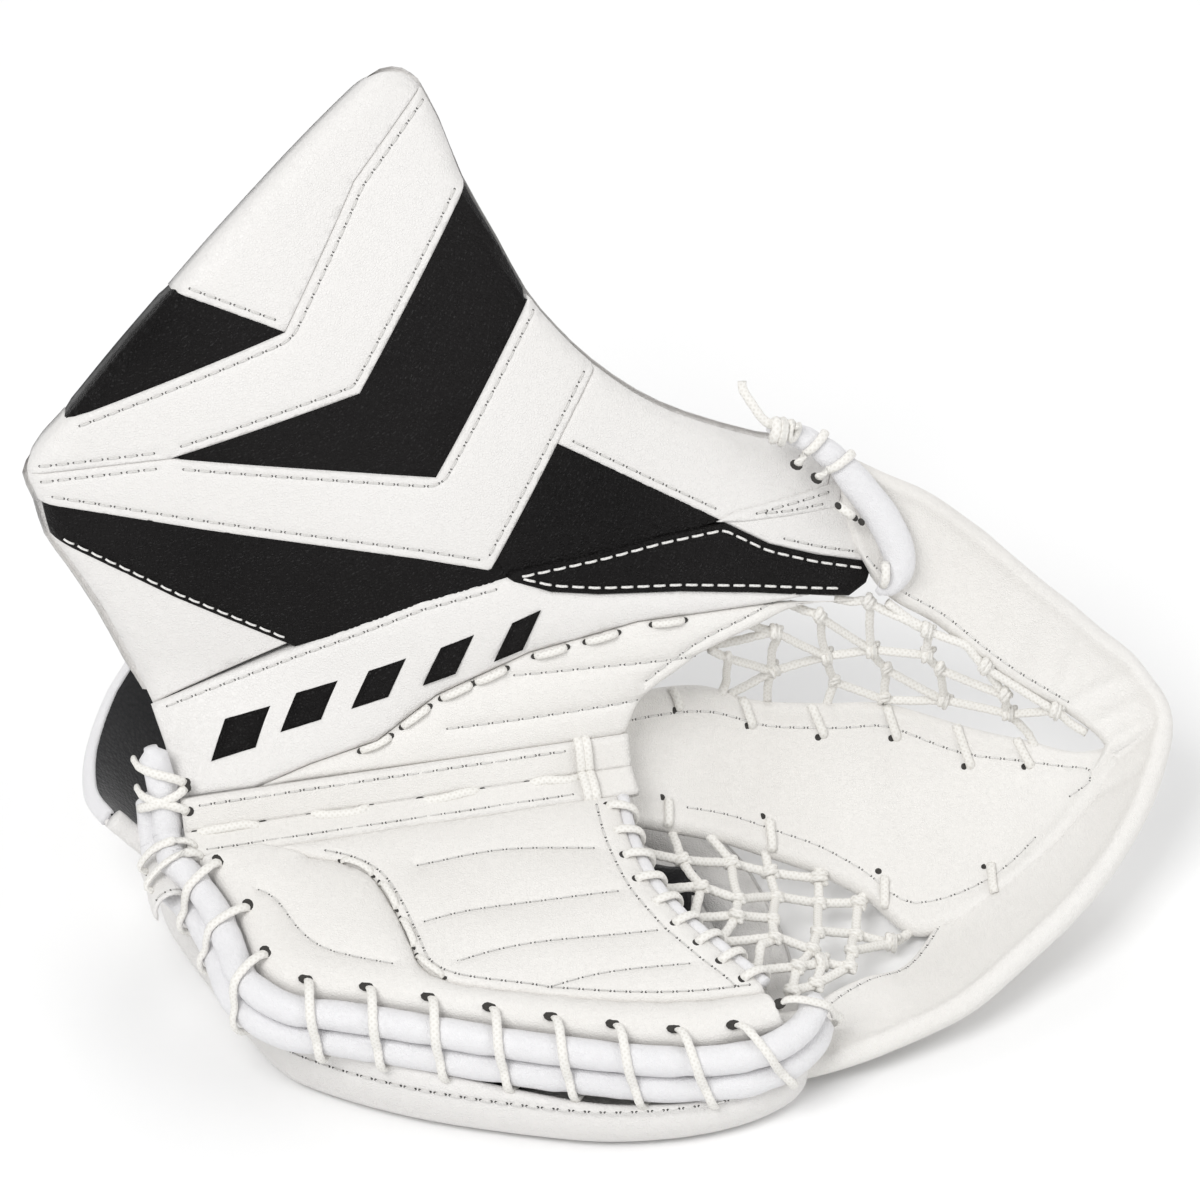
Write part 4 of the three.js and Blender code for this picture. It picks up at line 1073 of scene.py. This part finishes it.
class Strip:
    """A padded strip between two edges, bowed across, with rolled or rounded edges and a few folds."""

    def __init__(self, first, last, bow, count, across, rolls, roll_wide, wave, trim=2.6, folds=()):
        k = np.linspace(0, 1, count)
        ends = [shared(edge, k) for edge in (first, last)]
        v = 0.5 - 0.5 * np.cos(np.linspace(0, math.pi, across))
        bowed = 4 * v * (1 - v)
        grid = (ends[0][:, None] * (1 - v)[None, :, None] + ends[1][:, None] * v[None, :, None]
                + bow(k, *ends)[:, None] * bowed[None, :, None])
        normal = unit(np.cross(np.gradient(grid, axis=0), np.gradient(grid, axis=1)))
        turn = np.sign(np.sum(normal * POCKET_OUT, axis=2).mean())
        self.normal = normal * turn
        self.v = v
        self.width = np.linalg.norm(ends[1] - ends[0], axis=1)
        half = np.full(grid.shape[:2], T_THICK / 2)
        for share, rise in zip((v, 1 - v), rolls):
            gap = self.width[:, None] * share
            half += rise * np.exp(-((gap - roll_wide * 0.45) / (roll_wide * 0.3)) ** 2)
            half *= np.sqrt(1 - (1 - np.clip(gap / trim, 0, 1)) ** 2)
        to_end = np.clip(np.minimum(np.arange(count), np.arange(count)[::-1]) / 1.5, 0, 1)
        half *= np.sqrt(1 - (1 - to_end) ** 2)[:, None] * 0.999 + 0.001
        s = np.arange(count)[:, None]
        half += wave * np.sin(s / 4.1 + v * 5) * np.sin(v * math.pi) * np.sin(s / 2.3 + 1)
        for share, depth, slant in folds:
            half -= depth * bowed * np.exp(-((s / count - share - slant * (v - 0.5)) / 0.016) ** 2)
        middle = grid - self.normal * (T_THICK / 2)
        self.top = middle + self.normal * half[..., None]
        bottom = middle - self.normal * half[..., None]
        self.rings = np.concatenate([self.top, bottom[:, -2:0:-1]], axis=1)
        if turn > 0:
            self.rings = self.rings[:, ::-1]

    def line(self, spans, lift=0.0):
        """A line on the face through (share of the length, millimetres from the first edge) pairs.

        A negative distance is measured from the last edge.
        """
        rows = []
        for k, gap in spline(spans, 12):
            i = min(max(k, 0), 1) * (len(self.top) - 1)
            low = min(int(i), len(self.top) - 2)
            wide = float(np.interp(i, np.arange(len(self.width)), self.width))
            v = (gap if gap >= 0 else wide + gap) / wide
            at = []
            for grid in (self.top, self.normal):
                first, last = (interpolated(grid[r], self.v, v) for r in (low, low + 1))
                at.append(first * (1 - i + low) + last * (i - low))
            rows.append(np.r_[at[0] + at[1] * lift, at[1]])
        return np.array(rows)


def through(middle_points):
    """A bow that takes a strip's middle through given points."""
    def bow(k, first, last):
        lift = shared(middle_points, k) - (first + last) / 2
        along = unit(np.gradient((first + last) / 2, axis=0))
        return lift - along * np.sum(lift * along, axis=1, keepdims=True)
    return bow


def sag(depth):
    return lambda k, first, last: -POCKET_OUT * depth * np.sin(np.pi * k)[:, None] ** 0.5


shaft = Strip(SHAFT_THUMB_EDGE, SHAFT_FINGER_EDGE, through(SHAFT_MIDDLE), 90, 33, (0.5, 0.5), 9, 0.3,
              trim=3.6)
loft("t_shaft", shaft.rings, PALM, "pocket", padded=0.6, also=["t_apex"])
SHAFT_ROWS = [[(0.04, 10), (0.3, 10), (0.6, 10), (0.9, 9), (0.93, 16), (0.88, 24)],
              [(0.04, 10), (0.02, 20), (0.05, 33)],
              [(0.16, -10), (0.3, -10), (0.5, -10), (0.8, -9)]]
t_stitches = {"t_shaft_stitches": ([shaft.line(spans) for spans in SHAFT_ROWS], "pocket", None)}

# Each arm: its body and bend, its edges, its sag, its mesh's rows and columns, and its stitch row.
ARMS = {"t_upper_arm": ("thumb_half", POCKET_TO_THUMB, UPPER_ARM_INNER, UPPER_ARM_OUTER, 3, 80, 25,
                        [(0.05, 4), (0.4, 4), (0.8, 4)]),
        "t_lower_arm": ("finger_half", FINGER_TO_POCKET, LOWER_ARM_INNER, LOWER_ARM_OUTER, 4, 100, 27,
                        [(0.12, 4), (0.5, 4), (0.85, 4)])}
for name, (body, bends, inner, outer, depth, count, across, spans) in ARMS.items():
    arm = Strip(inner, outer, sag(depth), count, across, (0.3, 1.1), 7, 0.4, folds=ARM_FOLDS)
    loft(name, arm.rings, PALM, body, bends=bends, padded=0.6)
    t_stitches[name + "_stitches"] = ([arm.line(spans)], body, bends)
for name, (lines, body, bends) in t_stitches.items():
    sewing(name, lines, body, THREAD, bends=bends)

# ==== the webs ====
# Each strand of lace runs through places on the pocket's plane, and a knot lies where strands meet.
# A strand's level comes from the leather round the web, which it hangs between.
PALM_SIDE = [(20, 22, -3), (34, 33, 2), (47, 38, 6), (66, 44, 11), (84, 48, 13), (106, 47, 15)]
FINGER_SIDE = [(8, -20, -8), (10, -30, -4), (14, -44, 1), (20, -58, 5), (28, -70, 11), (37, -82, 18),
               (46, -96, 26)]
THUMB_WEB = [
    [(49, 38), (55, 36), (57, 31), (55, 27)],
    [(47, 41), (73, 41), (74, 32), (74, 25)],
    [(61, 28), (75, 32)],
    [(55, 36), (75, 32), (95, 33), (112, 32), (132, 26)],
    [(64, 45), (73, 41), (95, 33)],
    [(82, 49), (90, 44), (95, 33), (100, 26), (98, 21)],
    [(90, 44), (112, 32)],
    [(100, 49), (109, 46), (112, 32), (119, 26), (119, 17)],
    [(109, 46), (122, 38), (131, 33)],
    [(100, 26), (119, 17)],
    [(119, 26), (141, 12)],
    [(118, 43), (131, 33), (132, 26), (137, 21), (141, 12)],
    [(131, 33), (145, 26), (152, 17), (160, 7)],
    [(137, 21), (160, 7)],
    [(152, 17), (179, -2)],
    [(119, 17), (141, 12), (163, 2), (179, -2), (188, -9)],
    [(160, 7), (163, 2), (171, -6), (173, -12)],
]
FINGER_WEB = [
    [(25, -26), (25, -36), (28, -49), (22, -61)],
    [(41, -29), (46, -38), (42, -55), (38, -63), (28, -73)],
    [(61, -34), (61, -43), (60, -54), (53, -65), (50, -74), (43, -77), (38, -87)],
    [(81, -43), (80, -48), (77, -58), (70, -72), (64, -80), (55, -87), (49, -97)],
    [(97, -56), (93, -60), (86, -74), (80, -82), (76, -89)],
    [(10, -32), (25, -36), (46, -38), (61, -43), (80, -48)],
    [(13, -48), (28, -49), (42, -55), (60, -54), (77, -58), (93, -60)],
    [(20, -61), (38, -63), (53, -65)],
    [(28, -73), (50, -74), (64, -80), (70, -72), (86, -74), (100, -79)],
    [(38, -87), (55, -87), (66, -86), (76, -89)],
    [(64, -80), (66, -86), (60, -95)],
    [(49, -97), (60, -95), (76, -89)],
    [(80, -82), (100, -79), (107, -76)],
]


def hung(rim, sag):
    """The level of a web at a place: its rim's levels, the nearer ones first, less a sag."""
    rim = np.vstack([resample(spline(edge), 3.0) for edge in rim])

    def level(x, t):
        apart = (rim[:, 0] - x) ** 2 + (rim[:, 1] - t) ** 2 + 1.0
        weight = apart ** -1.5
        return weight @ rim[:, 2] / weight.sum() - sag * (1 - math.exp(-math.sqrt(apart.min()) / 6))
    return level


def net(name, strands, level, bends, size=1.0):
    """A net of laces: each strand bends a little between its knots, and dips where it passes another."""
    chance = np.random.default_rng(len(strands))
    cords, meetings = [], {}
    for strand in strands:
        places = [POCKET(x, t, level(x, t)) for x, t in strand]
        for end, inner in ((0, 1), (-1, -2)):
            if sum(strand[end] in other for other in strands) == 1:
                places[end] = places[end] + 3.2 * unit(places[end] - places[inner]) - POCKET_OUT * 1.6
        for i, flat in enumerate(strand):
            ahead = places[min(i + 1, len(places) - 1)] - places[max(i - 1, 0)]
            meetings.setdefault(flat, []).append((places[i], unit(ahead)))
        run = []
        for first, last in zip(places, places[1:]):
            run += [first, (first + last) / 2 - POCKET_OUT * 0.5 + chance.uniform(-0.4, 0.4, 3)]
        rows = facing([*run, places[-1]], POCKET_OUT)
        cords.append(lace(rows, LACE_WIDE * size, 1.2 * size, per_span=5))
    for meeting in meetings.values():
        if len(meeting) > 1:
            place, way = meeting[0]
            cords.append(knot(place + POCKET_OUT * 0.4, way, POCKET_OUT, 1.12 * size))
    tubes(name, cords, LACE, bends[0], bends=bends)


net("thumb_web", THUMB_WEB, hung([PALM_SIDE, UPPER_ARM_INNER, SHAFT_THUMB_EDGE], 2.5),
    bend("pocket", "thumb_half", (24, 0), (46, 10)))
net("finger_web", FINGER_WEB, hung([FINGER_SIDE, SHAFT_FINGER_EDGE, LOWER_ARM_INNER], 4),
    bend("finger_half", "pocket", (-60, 0), (-30, 0)), 1.05)

# The webs' laces end on the shaft: the share of its length, and the gap to its edge.
SHAFT_LACES = [(0.17, 9), (0.31, 12), (0.44, 14), (0.58, 15), (0.71, 14), (0.82, 11),
               (0.12, -13), (0.3, -14), (0.5, -15), (0.7, -16)]


def lace_end(share, gap):
    """A lace end that lies on the shaft's face from its edge to a hole in it."""
    gaps = np.linspace(math.copysign(0.8, gap), gap, 4)
    line = shaft.line([(share + 0.004 * i, place) for i, place in enumerate(gaps)], 0.9)
    line[-4:, :3] -= line[-4:, 3:] * np.array([[0.2], [0.8], [1.5], [2.2]])
    return lace(line)


def end_hole(share, gap):
    spot = shaft.line([(share, gap), (share + 0.01, gap)])[0]
    return (spot[:3] + spot[3:] * 0.05, spot[3:], ALONG_X)


tubes("t_shaft_lace_ends", [lace_end(*end) for end in SHAFT_LACES], LACE, "pocket")
punched("t_shaft_lace_holes", [end_hole(*end) for end in SHAFT_LACES], "pocket", 1.5)

# ==== finger half: the palm ====
FOOT = -12.3  # where the palm's leather meets the break
PALM_THICK = 20
PALM_SEAM = spline([(-117, -20), (-104, -26), (-96, -34), (-92, -47), (-89, -64), (-87, -77), (-76, -87),
                    (-48, -97), (-19, -106), (7, -111), (33, -112)], 6)
PALM_EDGE = spline([(33, -108), (29, -101), (20, -87), (11, -72), (4, -54), (1, -30), (2, -12.3)], 6)
RIM = [(-153, -20), (-148, -36), (-146, -52), (-144, -66), (-134, -78), (-118, -84), (-98, -92), (-77, -101),
       (-55, -110), (-33, -118), (-12, -125), (10, -129)]
HEEL_OUTER = spline([(-157, FOOT), *RIM, (36, -126)], 6)
QUILTING = [[(-84, -32), (-45, -31), (-8, -37)], [(-87, -58), (-56, -56), (-4, -58)],
            [(-79, -78), (-50, -75), (6, -78)], [(-48, -95), (-24, -93), (14, -95)]]
quilting = [row(spline(line, 6)) for line in QUILTING]
palm_top = sewn("finger_palm_pad", [*PALM_SEAM, *PALM_EDGE, (-134, FOOT)], FINGER,
                quilted(0.6, 2.2, 6, quilting, 1.2, 3.6, wave=0.3), PALM_THICK, PALM, "finger_half",
                [*quilting, row(PALM_SEAM, -3.6), row(PALM_EDGE, -9.0)], stitches="palm_stitches", soft=2.0,
                padded=0.7, swells=True)

INNER_HEEL = row(spline([(-143, -30), (-134, -37), (-128, -53), (-121, -63), (-109, -70), (-93, -77)], 6))


def heel_relief(x, t, edge):
    flat = stack(x, t)
    inner = distance_to(flat, PALM_SEAM)
    to_side = np.minimum(inner / 7.5, distance_to(flat, HEEL_OUTER) / 9.5)
    crown = 3.6 * (1 - (1 - np.clip(to_side, 0, 1)) ** 2.2)
    pucker = 0.35 * np.sin((x - t) / 2.9) * np.exp(-inner / 4)
    return 0.2 + crown - 1.4 * np.exp(-distance_to(flat, INNER_HEEL) / 3) + pucker


sewn("finger_heel_roll", [(-134, FOOT), *PALM_SEAM, *HEEL_OUTER[::-1]], FINGER, heel_relief, PALM_THICK,
     PALM, "finger_half", [INNER_HEEL], stitches="heel_stitches", soft=1.5, padded=0.8, swells=True)
seam_laces("heel_seam_lace", on(FINGER, row(PALM_SEAM, -0.9), palm_top), (8, 26, 44, 62), 12, "finger_half")

# ---- the two rolled bindings and the lace that whips them ----
ROLL = 5.6
UPPER_ROLL = (7.0, -3.2)  # how far out of the palm's edge a roll lies, and its level
LOWER_ROLL = (10.2, -14.4)
HOLE_STEP = 22.5
SMOOTHING = 15
perimeter = resample(spline([(-160, -6), *RIM, (27, -128), (40, -121), (46, -110)]), 1.0)
padded_out = np.pad(right_of(perimeter), ((SMOOTHING // 2,) * 2, (0, 0)), mode="edge")
rim_out = stack(*(np.convolve(side, np.ones(SMOOTHING) / SMOOTHING, "valid") for side in padded_out.T))
round_rim = beside(perimeter, unit(rim_out), FINGER)
hole_places = np.arange(14, len(perimeter) - 6, HOLE_STEP)
for name, place, pull in (("upper", UPPER_ROLL, 4), ("lower", LOWER_ROLL, 8)):
    where = np.arange(0, len(perimeter) - 1, 1.5)
    radius = pinched(where, hole_places + pull, ROLL, 0.07)
    radius *= np.clip((len(perimeter) - 1 - where) / 6, 0.3, 1)
    roll("perimeter_binding_" + name, round_rim(where, *place), radius, FINGER_OUT, "finger_half")

# At the heel both rolls go on over the break and up the thumb half.
HEEL_ROLLS = {"upper": (UPPER_ROLL, (-165.8, 0, -4.6), [(-165.2, 9, -5), (-166.3, 22, -5), (-168.4, 33, -5)]),
              "lower": (LOWER_ROLL, (-170.0, 0, -14.6), [(-169.8, 8, -13), (-169.4, 13, -11.5)])}
for name, (start, fold_place, end) in HEEL_ROLLS.items():
    at_fold = POCKET(*fold_place)
    route = [round_rim(5, *start), round_rim(0, *start), at_fold, *(THUMB(*place) for place in end)]
    path = resample(spline(route), 1.2)
    fold = int(np.argmin(np.linalg.norm(path - at_fold, axis=1)))
    to_end = np.arange(len(path) - fold, 0, -1)
    for part, run, taper, bends in (("fold", path[:fold + 1], 1, FINGER_TO_BREAK),
                                    ("end", path[fold:], np.clip(to_end / 4, 0.45, 1), BREAK_TO_THUMB)):
        radius = ROLL * (0.98 + 0.02 * np.sin(np.arange(len(run)) / 2.0)) * taper
        roll(f"heel_binding_{name}_{part}", run, radius, POCKET_OUT, "pocket", bends=bends,
             also=["heel_binding"] if (name, part) == ("upper", "end") else [])

RIM_ROUTE = [(-3.4, -0.5), (-2.6, 3.2), (1.5, 4.8), (7.0, 3.9), (12.2, 1.0), (14.0, -4.6), (14.6, -9.5),
             (17.0, -13.5), (16.2, -18.8), (11.5, -21.8), (5.0, -22.5)]
rim_laces, rim_holes = [], []
for where in hole_places:
    slant = 8 + 11 * where / len(perimeter)
    rim_laces.append(lace(wrap(round_rim, (8.6, -9), RIM_ROUTE, where, slant)))
    way = unit(round_rim(where + 1, 0, 0) - round_rim(where, 0, 0))
    rim_holes.append((round_rim(where - 0.4, -3.6, 2.9), FINGER_OUT, way))
tubes("perimeter_lace", rim_laces, LACE, "finger_half")
punched("perimeter_holes", rim_holes, "finger_half", 2.3, stretch=1.2)

# ---- the pocket edge of the palm: a thin roll with the web's laces wrapped round it ----
EDGE_ROUTE = [(-5.0, 0.2), (-3.6, 2.6), (0.5, 2.6), (4.6, 0.6), (6.0, -3.5), (4.0, -9)]
edge_flat = resample(PALM_EDGE[::-1], 1.0)
round_edge = beside(edge_flat, -right_of(edge_flat), FINGER)
edge_where = np.arange(0, len(edge_flat) - 1, 1.5)
edge_places = np.arange(6, len(edge_flat) - 4, 11.5)
roll("pocket_edge_roll", round_edge(edge_where, 1.8, -2.4), pinched(edge_where, edge_places, 2.7, 0.12),
     FINGER_OUT, "finger_half", sides=14)
edge_laces = [lace(wrap(round_edge, (1.0, -3), EDGE_ROUTE, where, 3)) for where in edge_places]
tubes("pocket_edge_lace", edge_laces, LACE, "finger_half")
edge_holes = [(round_edge(where, -5.2, 1.8), FINGER_OUT, ALONG_X) for where in edge_places]
punched("pocket_edge_holes", edge_holes, "finger_half", 1.7)

# ==== finger half: the back shell ====
SHELL_OUTLINE = [(-164, 62), (-164, 30), (-160, 8), (-153, -20), (-146, -46), (-138, -66), (-125, -80),
                 (-107, -94), (-86, -107), (-55, -122), (-31, -131), (-5, -135), (16, -134), (33, -129),
                 (45, -120), (52, -96), (58, -60), (60, -20), (54, 24), (30, 56), (-20, 74), (-90, 78),
                 (-150, 74), (-164, 62)]
OPEN_BACK = np.array([(-150, 36), (-150, 120), (120, 120), (120, -100), (30, -100), (-20, -60)])
SHELL_FLOOR = 10
LOWEST_RIM = SHELL_FLOOR + 0.5
shell = resample(spline(SHELL_OUTLINE, 6), 3.0)[:-1]
shell_out = outward(shell)


def smoothed(values):
    return (np.roll(values, 1) + values + np.roll(values, -1)) / 3


def wall_heights():
    """The wall's height round the shell: up to the palm, low along the hand and open at the back."""
    share = np.where(inside(shell, OPEN_BACK), 0.0, 1.0)
    for step in range(4):
        share = smoothed(share)
    slope = math.radians(FINGER_TILT)
    under_palm = HINGE_HEIGHT + (shell[:, 1] * math.sin(slope) - 18.2) / math.cos(slope)
    top = np.minimum(under_palm, np.where(shell[:, 1] > -5, 17.5, 46))
    for step in range(3):
        top = np.minimum(top, smoothed(top))
    return LOWEST_RIM + (top - LOWEST_RIM) * share, share


wall_top, share = wall_heights()
rings = []
for point, out, top in zip(shell, shell_out, wall_top):
    profile = [(-24, 9.8), (-24, 0.0), (-9, 0.0), (-4.5, 1.2), (-1.5, 3.6), (0.6, 7.5), (1.0, 0.5 * top + 3),
               (0.4, top - 4), (-0.8, top - 1.2), (-2.6, top), (-4.6, top - 0.6), (-6.0, max(top - 3, 10.3)),
               (-6.6, max(top - 8, 10.1)), (-8.5, 10.0)]
    rings.append([(*(point + out * o), z) for o, z in profile])
loft("back_shell", rings, WHITE, "finger_half", closed=True)
drape("back_shell_floor", (shell - shell_out * 20)[::3], lambda x, t: stack(x, t, 9.6), even(0), 9.5, WHITE,
      "finger_half", soft=0.3, cell=9, under=even(0))
HAND_BED = [(-142, 40), (-142, 0), (-128, -58), (-95, -86), (-60, -100), (-30, -104), (-26, -40), (-28, 50)]
drape("hand_bed_lining", HAND_BED, lambda x, t: stack(x, t, 9.8),
      lambda x, t, edge: 0.9 + 0.3 * np.sin(x / 7), 0.8, LINING, "finger_half", soft=1.0, cell=7)
STITCH_HEIGHT = 19.5
stitched = (share > 0.9) & (shell[:, 1] < -60)
seam = stack(*(shell + shell_out * 1.15).T, STITCH_HEIGHT)[stitched]
seam_out = stack(*shell_out.T, 0)[stitched]
sewing("back_shell_stitches", [np.hstack([seam, seam_out])], "finger_half")


# ==== the stalls for the fingers and the thumb ====
def arch(name, sections, thick, body):
    """A padded loop: an arch of the given outer sections, with a soft rim at each end."""
    rows = np.asarray(sections, float)
    towards_centre = unit(rows.mean(1, keepdims=True) - rows)
    ends = np.minimum(np.arange(len(rows)), np.arange(len(rows))[::-1])
    ease = (1 - np.exp(-ends / 0.8))[:, None, None]
    outer = rows + towards_centre * thick * 0.4 * (1 - ease)
    inner = rows + towards_centre * thick * (1 - 0.3 * (1 - ease))
    loft(name, np.concatenate([outer, inner[:, ::-1]], axis=1), LINING, body)


FINGERWARD = np.array([0.92, -0.39])
SIDEWAYS = np.array([0.39, 0.92])
STALLS = {"index_finger_stall": (16, -10, 20), "middle_finger_stall": (7, -33, 18),
          "ring_finger_stall": (-3, -56, 15), "little_finger_stall": (-13, -79, 11)}
STALL_HALF_WIDTH = 10.5
STALL_HALF_LENGTH = 16
for name, (x, y, high) in STALLS.items():
    sections = []
    angle = np.linspace(0, math.pi, 21)
    for k in np.linspace(-1, 1, 15):
        middle = np.array([x, y]) + FINGERWARD * k * STALL_HALF_LENGTH
        flat = middle + (np.cos(angle) * STALL_HALF_WIDTH)[:, None] * SIDEWAYS
        rib = 0.35 * math.cos(k * 9)
        sections.append(stack(*flat.T, SHELL_FLOOR + 0.3 + np.sin(angle) * (high + rib)))
    arch(name, sections, 2.2, "finger_half")

THUMB_STALL = np.array([(-26, 80, 23), (80, 86, 16)])  # x, t and radius at each end
sections = []
angle = np.linspace(0, math.pi, 27)
for k in np.linspace(0, 1, 30):
    x, t, radius = THUMB_STALL[0] + (THUMB_STALL[1] - THUMB_STALL[0]) * k
    radius += 0.5 * math.sin(k * 19)
    side = t + radius * np.cos(angle)
    level = face_level(x, side) - BOARD_BOTTOM - 3.1
    sections.append(THUMB(x, side, level - radius * np.sin(angle)))
arch("thumb_stall", sections, 3.2, "thumb_half")

# ==== finger half: the pad behind the hand, its lining and the loop tape ====
PAD_THICK = 9
PAD_CHANNELS = [[(-98, q), (-10, q)] for q in (-38, -10, 18)]


def backhand_level(q):
    return 34 - q ** 2 / 300


def backhand(w, q):
    """Outside of the backhand pad, with w first and q second."""
    return WRIST(q, backhand_level(q) + PAD_THICK, w)


sewn("backhand_pad", [(-98, -66), (-10, -66), (-10, 48), (-98, 48)], backhand,
     quilted(0, 1.2, 6, PAD_CHANNELS, 1.8, 3.5), PAD_THICK, WHITE, "finger_half",
     [row(channel) for channel in PAD_CHANNELS], stitches="backhand_stitches", soft=3.5, padded=0.6,
     swells=True)
drape("backhand_lining", [(-62, -94), (44, -94), (44, -14), (-62, -14)],
      lambda q, w: WRIST(q, backhand_level(q) - 0.4, w),
      lambda x, t, edge: 1.4 + 0.5 * np.sin(x / 11) * np.sin(t / 9), 1.2, LINING, "finger_half", cell=6)
drape("strap_loop_tape", [(-40, -4), (-14, -4), (-14, 44), (-40, 44)], backhand, even(1.3), 1.0, TAPE,
      "finger_half", soft=0.4, cell=5)
drape("palm_lining", [(-150, -24), (-2, -20), (-4, -50), (30, -108), (-33, -112), (-118, -80), (-146, -64)],
      lambda x, t: FINGER(x, t, -PALM_THICK - 0.3), even(0), 2.0, LINING, "finger_half", soft=0.6, cell=7)

# ==== the wrist strap ====
STRAP_PATH = [(-125, -27), (-124, -8), (-114, 13), (-94, 32), (-60, 44), (-20, 47.4), (12, 46.8), (46, 40.6)]
STRAP_START, STRAP_END = -44, 9
strap_path = resample(spline(STRAP_PATH, 10), 1.0)
STRAP_LENGTH = len(strap_path) - 1
round_strap = beside(strap_path, -right_of(strap_path), WRIST)
ELBOW_EDGE = [(-8, 1), (-2, 19), (3, 42), (7, 70), (9, 106), (STRAP_END, STRAP_LENGTH - 8)]


def strap_at(lift):
    """The strap's surface, with w first and the distance along the strap second."""
    return lambda w, s: round_strap(s, lift, w)


def inner_strap(w, s):
    """The strap's inside, seen from there."""
    return round_strap(s, 0.0, -np.asarray(w, float))


def hook_face(w, q):
    return WRIST(q, 46.1 - (np.asarray(q, float) - 14) * 0.182, -np.asarray(w, float))


strap_outline = [(STRAP_START, 1), *ELBOW_EDGE, (STRAP_END - 8, STRAP_LENGTH),
                 (STRAP_START + 8, STRAP_LENGTH), (STRAP_START, STRAP_LENGTH - 8)]
strap_rows = [row([(STRAP_START + 5, 4), (STRAP_START + 5, STRAP_LENGTH - 6)]),
              row([(w - 5, s + 2) for w, s in ELBOW_EDGE])]
sewn("wrist_strap", strap_outline, strap_at(5.8), crowned(0.1, 0.5, 7), 3.4, WHITE, "strap", strap_rows,
     stitches="strap_stitches", cell=6)
drape("wrist_strap_lining", mirrored(strap_outline), inner_strap, crowned(0, 0.6, 5), 2.2, LINING, "strap",
      soft=1.0, cell=6)
s = np.arange(1, STRAP_LENGTH - 6, 1.5)
bindings = []
for w in (np.full(len(s), STRAP_START + 0.4), np.interp(s, *np.array(ELBOW_EDGE)[:, ::-1].T) - 0.4):
    middle = strap_at(3.0)(w, s)
    bindings.append(swept(middle, 1.9, 3.3, up=strap_at(4.0)(w, s) - middle, sides=12))
tubes("wrist_strap_binding", bindings, ROLLED, "strap")
drape("strap_hook_tape", [(14, 14), (40, 14), (40, 42), (14, 42)], hook_face, even(0.9), 0.9, TAPE, "strap",
      soft=0.4, cell=5)
pivot = WRIST(-126, -34, np.linspace(STRAP_START, ELBOW_EDGE[0][0], 30))
tubes("strap_pivot_roll", [swept(pivot, 4.0 + 0.1 * np.sin(np.arange(30)), sides=16)], WHITE, "finger_half")

# ==== the tab and laces at the heel ====
TAB_MIDDLE = (-169.6, 56.4)  # the lower roll's x and z at the heel: the tab is wrapped round it
TAB_RADIUS = 6.4
HEEL_TAB = [(1, -26), (25, -22), (24, 2), (0, 6)]  # length round the roll from below, then y
LEFT = -ALONG_X


def tab_at(length, y):
    angle = math.radians(215) - length / TAB_RADIUS
    return stack(TAB_MIDDLE[0] + TAB_RADIUS * np.cos(angle), y, TAB_MIDDLE[1] + TAB_RADIUS * np.sin(angle))


sewn("heel_tab", HEEL_TAB, tab_at, lambda x, t, edge: 1.0 + 0.2 * np.sin(t / 4), 0.9, WHITE, "finger_half",
     [row([(2, 4), (23, 0)]), row([(23, -20), (3, -24)])], soft=0.8, cell=3.0)
tab_holes = [(tab_at(7.2, y) + 0.8 * LEFT, LEFT, np.array([0, 1.0, 0])) for y in (-5, -17)]
punched("heel_tab_holes", tab_holes, "finger_half", 1.6)
TAB_LACES = [[(-175, -5, 60), (-178, -4.5, 63), (-173.2, -5, 70), (-166.5, -6, 73.6), (-160, -6.5, 73),
              (-157, -7, 70)],
             [(-175, -17, 60), (-177.6, -16, 63), (-171.5, -14, 69), (-164.5, -13, 72.4), (-158.5, -12, 71.6),
              (-155.5, -11.5, 68.6)]]
tubes("heel_lace", [lace(facing(run, LEFT)) for run in TAB_LACES], LACE, "finger_half", bends=FINGER_TO_BREAK)
HEEL_CROSSINGS = [(8, 17), (17, 9), (19, 28)]  # where each lace starts and ends up the thumb half
heel_wraps = []
for start, end in HEEL_CROSSINGS:
    route = THUMB([-158.0, -160.5, -164.5, -169.5, -173.5, -174.5], np.linspace(start, end, 6),
                  [0.3, 1.6, 1.6, 0.3, -4.5, -10])
    out = THUMB([0, 0, 0, -0.4, -1, -1.0], 0, [1, 1, 1, 0.9, 0.3, 0]) - THUMB(0, 0, 0)
    heel_wraps.append(lace(np.hstack([route, out])))
tubes("heel_crossed_lace", heel_wraps, LACE, "thumb_half")
heel_holes = [(THUMB(-157.5, start, 0.9), THUMB_OUT, ALONG_X) for start, end in HEEL_CROSSINGS]
punched("heel_holes", heel_holes, "thumb_half", 1.9)
